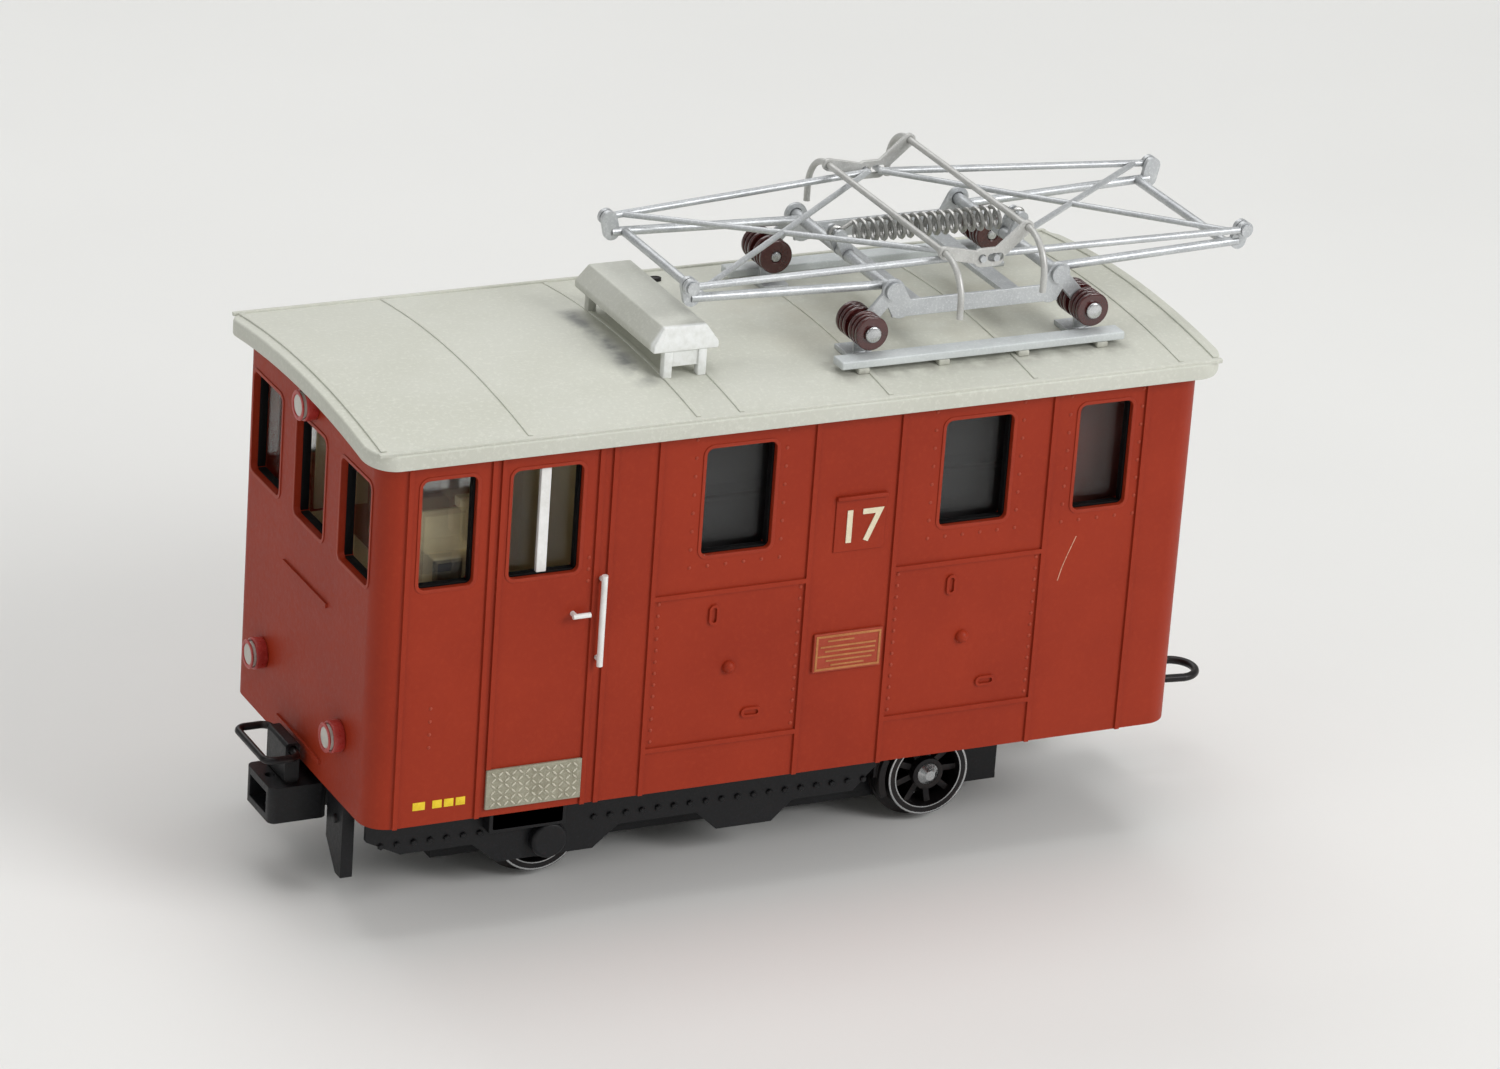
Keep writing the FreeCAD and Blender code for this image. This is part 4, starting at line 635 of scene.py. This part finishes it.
def makeRivets(parts):
    head = turned("rivet", (0, parts["sink"] - sideFace, 0), (0, -1, 0), parts["radius"], parts["profile"],
                  parts["segments"])
    spots = []
    for x, low, high, pitch in parts["columns"]:
        count = int((high - low) / pitch)
        spots += [(x, low + i * pitch) for i in range(count + 1)]
    low, high = parts["windowLow"] - parts["off"], parts["windowLow"] + parts["windowHigh"] + parts["off"]
    for x, wide in parts["windows"]:
        left, right = x - wide / 2 - parts["off"], x + wide / 2 + parts["off"]
        rows = round((high - low) / parts["pitch"])
        across = round((right - left) / parts["pitch"])
        for i in range(rows + 1):
            z = low + (high - low) * i / rows
            spots += [(left, z), (right, z)]
        for i in range(1, across):
            spots.append((left + (right - left) * i / across, low))
    for x, wide in parts["corners"]:
        for side in (-1, 1):
            spots += [(x + side * (wide / 2 + parts["off"]), low + i * parts["cornerPitch"])
                      for i in range(parts["cornerCount"])]
    heads = [copyAt(head, (x, 0, z)) for x, z in spots]
    drop(head)
    dress(joined(bothSides(heads)), "sideRivets", "locomotive", "highlitRed")
    return len(spots) * 2


print("rivets set:", makeRivets(rivets))


# markings: a running number, a plate with gold rules and a row of yellow dashes, all without words

# rules are a shift along x, a width and a height over the plate's middle
markings = {"number": {"text": "17", "x": 4.3, "z": 25.22, "high": 2.35, "sizePerHigh": 1.36, "thick": 0.05,
                       "fat": 0.035, "face": 11.92},
            "plate": {"x": 4.05, "z": 16.65, "wide": 4.9, "high": 2.7, "face": 12.04,
                      "edge": 0.16, "in": 0.12,
                      "rules": [(-0.55, 1.9, 0.82), (0.0, 4.0, 0.42), (0.15, 3.6, 0.1), (-0.1, 4.1, -0.24),
                                (0.1, 3.3, -0.56), (0.0, 2.4, -0.88)],
                      "ruleHigh": 0.13, "thick": 0.04, "cut": 0.02},
            "dashes": {"spots": [(-25.9, -25.05), (-24.55, -23.9), (-23.75, -23.1), (-22.95, -22.3)],
                       "low": 9.3, "high": 9.85, "thick": 0.03, "cut": 0.015}}


def makeNumber(parts):
    bpy.ops.object.text_add(location=(0, 0, 0))
    digits = bpy.context.object
    digits.data.body = parts["text"]
    digits.data.align_x = "CENTER"
    digits.data.align_y = "CENTER"
    digits.data.size = parts["high"] * parts["sizePerHigh"]
    digits.data.extrude = parts["thick"]
    digits.data.offset = parts["fat"]
    bpy.ops.object.convert(target="MESH")
    digits.data.transform(Matrix.Translation(Vector((parts["x"], -parts["face"], parts["z"])) * mm) @
                          Matrix.Rotation(math.pi / 2, 4, "X") @ Matrix.Scale(mm, 4))
    twin = copyAt(digits, (2 * parts["x"], 0, 0), math.pi, "Z")
    dress(joined([digits, twin]), "runningNumber", "locomotive", "creamInk")


def makePlateRules(parts):
    x, z, edge = parts["x"], parts["z"], parts["edge"]
    halfWide, halfHigh, halfRule = parts["wide"] / 2, parts["high"] / 2, parts["ruleHigh"] / 2
    left, right = x - halfWide + parts["in"], x + halfWide - parts["in"]
    low, high = z - halfHigh + parts["in"], z + halfHigh - parts["in"]
    spans = [(left, low, right, low + edge), (left, high - edge, right, high),
             (left, low + edge, left + edge, high - edge), (right - edge, low + edge, right, high - edge)]
    for shift, wide, lift in parts["rules"]:
        spans.append((x + shift - wide / 2, z + lift - halfRule, x + shift + wide / 2, z + lift + halfRule))
    near, far = -parts["face"] - parts["thick"], -parts["face"] + parts["thick"]
    bars = [sizedBlock("bar", (x0, near, z0), (x1, far, z1), parts["cut"]) for x0, z0, x1, z1 in spans]
    dress(joined(bothSides(bars)), "plateRules", "locomotive", "goldInk")


def makeDashes(parts):
    near, far = -sideFace - parts["thick"], -sideFace + parts["thick"]
    bars = [sizedBlock("dash", (left, near, parts["low"]), (right, far, parts["high"]), parts["cut"])
            for left, right in parts["spots"]]
    dress(joined(bothSides(bars)), "yellowDashes", "locomotive", "yellowInk")


makeNumber(markings["number"])
makePlateRules(markings["plate"])
makeDashes(markings["dashes"])
print("markings made")


# tread plates: raised lozenges that lie both ways by turns

tread = {"pitchX": 0.47, "pitchZ": 0.42, "long": 0.44, "wide": 0.13, "proud": 0.06, "margin": 0.3, "lean": 42,
         "cut": 0.02}


def treadSpan():
    # the plate on the shown side: left, right, bottom and top in mm
    spots = [vertex.co for vertex in nodes["door_tread_plates"].data.vertices if vertex.co.y < 0]
    xs, zs = [spot.x / mm for spot in spots], [spot.z / mm for spot in spots]
    return min(xs), max(xs), min(zs), max(zs)


def makeLozenges(parts):
    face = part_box("door_tread_plates")[0][1] / mm
    bpy.ops.mesh.primitive_cylinder_add(vertices=6, radius=0.5 * mm, depth=parts["proud"] * 2 * mm,
                                        location=(0, 0, 0), rotation=(math.pi / 2, 0, 0))
    lozenge = bpy.context.object
    lozenge.scale = (parts["long"], parts["wide"], 1.0)
    bpy.ops.object.transform_apply(location=True, rotation=True, scale=True)
    applyModifier(lozenge, "BEVEL", {"width": parts["cut"] * mm, "segments": 1, "limit_method": "ANGLE"})
    left, right, bottom, top = treadSpan()
    columns = int((right - left - 2 * parts["margin"]) / parts["pitchX"])
    rows = int((top - bottom - 2 * parts["margin"]) / parts["pitchZ"])
    startX = (left + right - columns * parts["pitchX"]) / 2
    startZ = (bottom + top - rows * parts["pitchZ"]) / 2
    lozenges = []
    for i in range(columns + 1):
        for j in range(rows + 1):
            lean = math.radians(parts["lean"] if (i + j) % 2 else -parts["lean"])
            place = (startX + i * parts["pitchX"], face, startZ + j * parts["pitchZ"])
            lozenges.append(copyAt(lozenge, place, lean))
    drop(lozenge)
    dress(joined(bothSides(lozenges)), "treadLozenges", "locomotive", "wornTread")
    return len(lozenges) * 2


print("lozenges raised:", makeLozenges(tread))


# tension spring between the lower arms: a close coil with a hook at each end

coil = {"left": 8.35, "right": 19.25, "z": 40.71, "turns": 17, "steps": 14, "radius": 0.69, "wire": 0.16,
        "pins": (7.166, 20.434), "shankWire": 0.144, "shankShare": 0.75, "shankLap": 0.15,
        "hookRadius": 0.42, "hookWire": 0.128}


def makeSpring(parts):
    radius, z = parts["radius"], parts["z"]
    pitch = (parts["right"] - parts["left"]) / parts["turns"]
    bpy.ops.mesh.primitive_circle_add(vertices=8, radius=parts["wire"] * mm, rotation=(math.pi / 2, 0, 0),
                                      location=(0, 0, 0))
    wire = bpy.context.object
    bpy.ops.object.transform_apply(location=False, rotation=True, scale=True)
    wire.data.transform(Matrix.Translation((0, 0, radius * mm)))
    wire.location = (parts["left"] * mm, 0, z * mm)
    applyModifier(wire, "SCREW", {"axis": "X", "angle": math.tau, "screw_offset": pitch * mm,
                                  "iterations": parts["turns"], "steps": parts["steps"],
                                  "render_steps": parts["steps"]})
    pieces = [wire]
    for end, pin in zip((parts["left"], parts["right"]), parts["pins"]):
        reach = abs(end - pin) * parts["shankShare"] + parts["shankLap"]
        shank = turned("shank", (end, 0, z + radius), (pin - end, 0, -radius), parts["shankWire"],
                       [(1.0, 0.0), (1.0, reach)], 8)
        bpy.ops.mesh.primitive_torus_add(location=(pin * mm, 0, z * mm), rotation=(math.pi / 2, 0, 0),
                                         major_radius=parts["hookRadius"] * mm, major_segments=18,
                                         minor_radius=parts["hookWire"] * mm, minor_segments=8)
        pieces += [shank, bpy.context.object]
    spring = joined(pieces)
    closeUp(spring)
    dress(spring, "armSpring", "locomotive", "drawnWire")
    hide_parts("pantograph_spring")
    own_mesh(spring)


makeSpring(coil)
print("spring wound")


# inside: near-black panels behind the side windows and shaded-red ones behind the last window of each
# side, painted shade for the unlit inside

lining = {"dark": {"x": (-12.2, 18.6), "y": 9.3, "z": (9.6, 32.6), "thick": 0.3, "cut": 0.05},
          "ledge": {"z": (27.1, 27.5), "reach": 0.5, "lap": 0.05, "cut": 0.08},
          "shadedRed": {"x": (18.9, 27.0), "y": 8.9, "z": (9.6, 32.2), "thick": 0.3, "cut": 0.05}}


def liningPanel(parts):
    (left, right), (low, high), near = parts["x"], parts["z"], -parts["y"]
    return sizedBlock("lining", (left, near, low), (right, near + parts["thick"], high), parts["cut"])


def makeLinings(parts):
    dark, ledge, end = parts["dark"], parts["ledge"], parts["shadedRed"]
    (left, right), (low, high), near = dark["x"], ledge["z"], -dark["y"]
    sill = sizedBlock("ledge", (left, near - ledge["reach"], low), (right, near + ledge["lap"], high),
                      ledge["cut"])
    dress(joined(bothSides([liningPanel(dark), sill])), "shadeLinings", "locomotive",
          "shadeLining")
    panel = liningPanel(end)
    twin = copyAt(panel, (0, 2 * end["y"] - end["thick"], 0))
    dress(joined([panel, twin]), "shadedRedLinings", "locomotive", "shadedRedLining")


makeLinings(lining)
print("linings set")


# painted shade in the windows' openings: black strips for the shaded reveals, seen as a thin dark line inside
# the red rim

# windows are an x and a width at the sides, a y at the ends
revealShades = {"windows": [(-24.45, 3.7), (-17.8, 4.8), (-4.46, 4.9), (12.48, 4.9), (21.7, 3.85)],
               "low": 24.504, "high": 7.35, "thick": 0.16, "faces": (-11.5, -10.95),
               "ends": {"windows": [-7.5, 0, 7.5], "wide": 4.9, "lap": 0.5, "faces": (-28.5, -27.95),
                        "thick": 0.12}}
revealShadeCut = 0.03


def revealShadeRing(near, far, low, high, thick, front, back, alongX):
    # four strips round an opening from near to far, and between its front and back faces
    def corner(along, depth, z):
        return (along, depth, z) if alongX else (depth, along, z)
    spans = [(near, near + thick, low, high), (far - thick, far, low, high),
             (near, far, low, low + thick), (near, far, high - thick, high)]
    return [sizedBlock("shadeStrip", corner(start, front, bottom), corner(end, back, top), revealShadeCut)
            for start, end, bottom, top in spans]


def makeRevealShades(parts):
    front, back = parts["faces"]
    low, high = parts["low"], parts["low"] + parts["high"]
    shadeStrips = []
    for x, wide in parts["windows"]:
        shadeStrips += revealShadeRing(x - wide / 2, x + wide / 2, low, high, parts["thick"], front, back, True)
    ends, glass = parts["ends"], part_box("end_glazing")
    front, back = ends["faces"]
    low, high = glass[0][2] / mm + ends["lap"], glass[1][2] / mm - ends["lap"]
    half = ends["wide"] / 2
    endShadeStrips = []
    for y in ends["windows"]:
        endShadeStrips += revealShadeRing(y - half, y + half, low, high, ends["thick"], front, back, False)
    endShadeStrips += [copyAt(shadeStrip, (0, 0, 0), math.pi, "Z") for shadeStrip in endShadeStrips]
    dress(joined(bothSides(shadeStrips) + endShadeStrips), "revealShades", "locomotive", "revealShade")


makeRevealShades(revealShades)
print("window seals set")


# cab: the cream desk end, its shelf and the T-handled lever behind the first side window, lightened as
# painted light where they sit in shade, and a dark block under the shelf as painted shade

# two opposite corners of each block: the desk end, the shelf, its foot, the lever and the handle
cabEnd = {"cream": [((-25.0, -8.7, 21.6), (-21.25, -8.45, 28.4)),
                    ((-24.4, -9.6, 25.35), (-21.2, -8.65, 25.6)),
                    ((-22.2, -9.35, 22.2), (-21.95, -9.1, 25.4)),
                    ((-22.35, -9.2, 26.3), (-21.75, -8.8, 28.9)),
                    ((-22.75, -9.3, 28.7), (-21.5, -8.7, 29.35))],
          "creamCut": 0.06, "recess": ((-24.0, -8.85, 23.3), (-21.6, -8.6, 25.1)), "recessCut": 0.04}


def makeCabEnd(parts):
    cream = [sizedBlock("cream", low, high, parts["creamCut"]) for low, high in parts["cream"]]
    dress(joined(bothSides(cream)), "cabEnds", "locomotive", "litCream")
    low, high = parts["recess"]
    recess = sizedBlock("recess", low, high, parts["recessCut"])
    dress(joined(bothSides([recess])), "cabRecesses", "locomotive", "shadeLining")


makeCabEnd(cabEnd)
print("cab end furnished")


# one slanted scratch through the red coat, beside the last window

scratch = {"points": [(20.3, 22.6), (20.05, 22.0), (19.75, 21.3), (19.45, 20.5), (19.2, 19.6)], "wide": 0.07,
           "proud": 0.012, "sink": 0.05, "lap": 0.02, "cut": 0.005}


def makeScratch(parts):
    half, near, far = parts["wide"] / 2, -sideFace - parts["proud"], -sideFace + parts["sink"]
    pieces = []
    for (x0, z0), (x1, z1) in zip(parts["points"], parts["points"][1:]):
        reach = math.hypot(x1 - x0, z1 - z0) / 2 + parts["lap"]
        piece = sizedBlock("scratch", (-reach, near, -half), (reach, far, half), parts["cut"])
        pieces.append(copyAt(piece, ((x0 + x1) / 2, 0, (z0 + z1) / 2), math.atan2(z0 - z1, x1 - x0)))
        drop(piece)
    dress(joined(pieces), "coatScratch", "locomotive", "scratchedCoat")


makeScratch(scratch)
print("scratch made")


# lamps: a rounded rim round each flat glass

# spots are the y and z of the lamps at the cab end
lampRings = {"spots": [(-6.7, 12.7), (6.7, 12.7), (0.0, 32.75)], "radius": 0.84, "wire": 0.15, "flat": 0.5}


def makeLampRings(parts):
    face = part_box("headlamp_lenses")[0][0] / mm
    rings = []
    for y, z in parts["spots"]:
        for side in (-1, 1):
            rings.append(flatRing("ring", (-side * face, -side * y, z), (side, 0, 0), parts["radius"],
                                  parts["wire"], parts["flat"], 32))
    dress(joined(rings), "lampRims", "locomotive", "lampRed")


makeLampRings(lampRings)
print("lamp rims made")


# wheels: a bright turned edge on each tyre

# rings are a radius, its wire's radius and how flat the wire is pressed
tyres = {"front": -14.2, "rear": 14.2, "z": 3.55, "face": 5.7,
         "rings": [(2.86, 0.07, 0.5), (2.42, 0.045, 0.5)]}


def makeTyreEdges(parts):
    for end in ("front", "rear"):
        rings = []
        for side in (-1, 1):
            place = (parts[end], side * parts["face"], parts["z"])
            rings += [flatRing("edge", place, (0, side, 0), radius, wire, flat)
                      for radius, wire, flat in parts["rings"]]
        name = end + "TyreEdges"
        dress(joined(rings), name, "wheelset_" + end, "turnedSteel")


makeTyreEdges(tyres)
print("tyre edges turned")


# running gear: hexagonal bolts along the outer frames, none in front of the axle box

runningGear = {"face": 6.85, "sink": 0.03, "z": 4.5, "radius": 0.22,
               "profile": [(1.0, 0.0), (1.0, 0.16), (0.7, 0.21)],
               "row": {"start": -25.8, "end": 8.8, "pitch": 1.15}, "axleX": -14.2, "clear": 3.0}


def makeRunningGear(parts):
    bolt = turned("bolt", (0, parts["sink"] - parts["face"], parts["z"]), (0, -1, 0), parts["radius"],
                  parts["profile"], 6)
    row = parts["row"]
    count = int((row["end"] - row["start"]) / row["pitch"])
    bolts = []
    for i in range(count + 1):
        x = row["start"] + i * row["pitch"]
        if abs(x - parts["axleX"]) > parts["clear"]:
            bolts += [copyAt(bolt, (x, 0, 0)), copyAt(bolt, (x, 0, 0), math.pi, "Z")]
    drop(bolt)
    dress(joined(bolts), "frameBolts", "locomotive", "mouldedBlack")


makeRunningGear(runningGear)
print("running gear dressed")
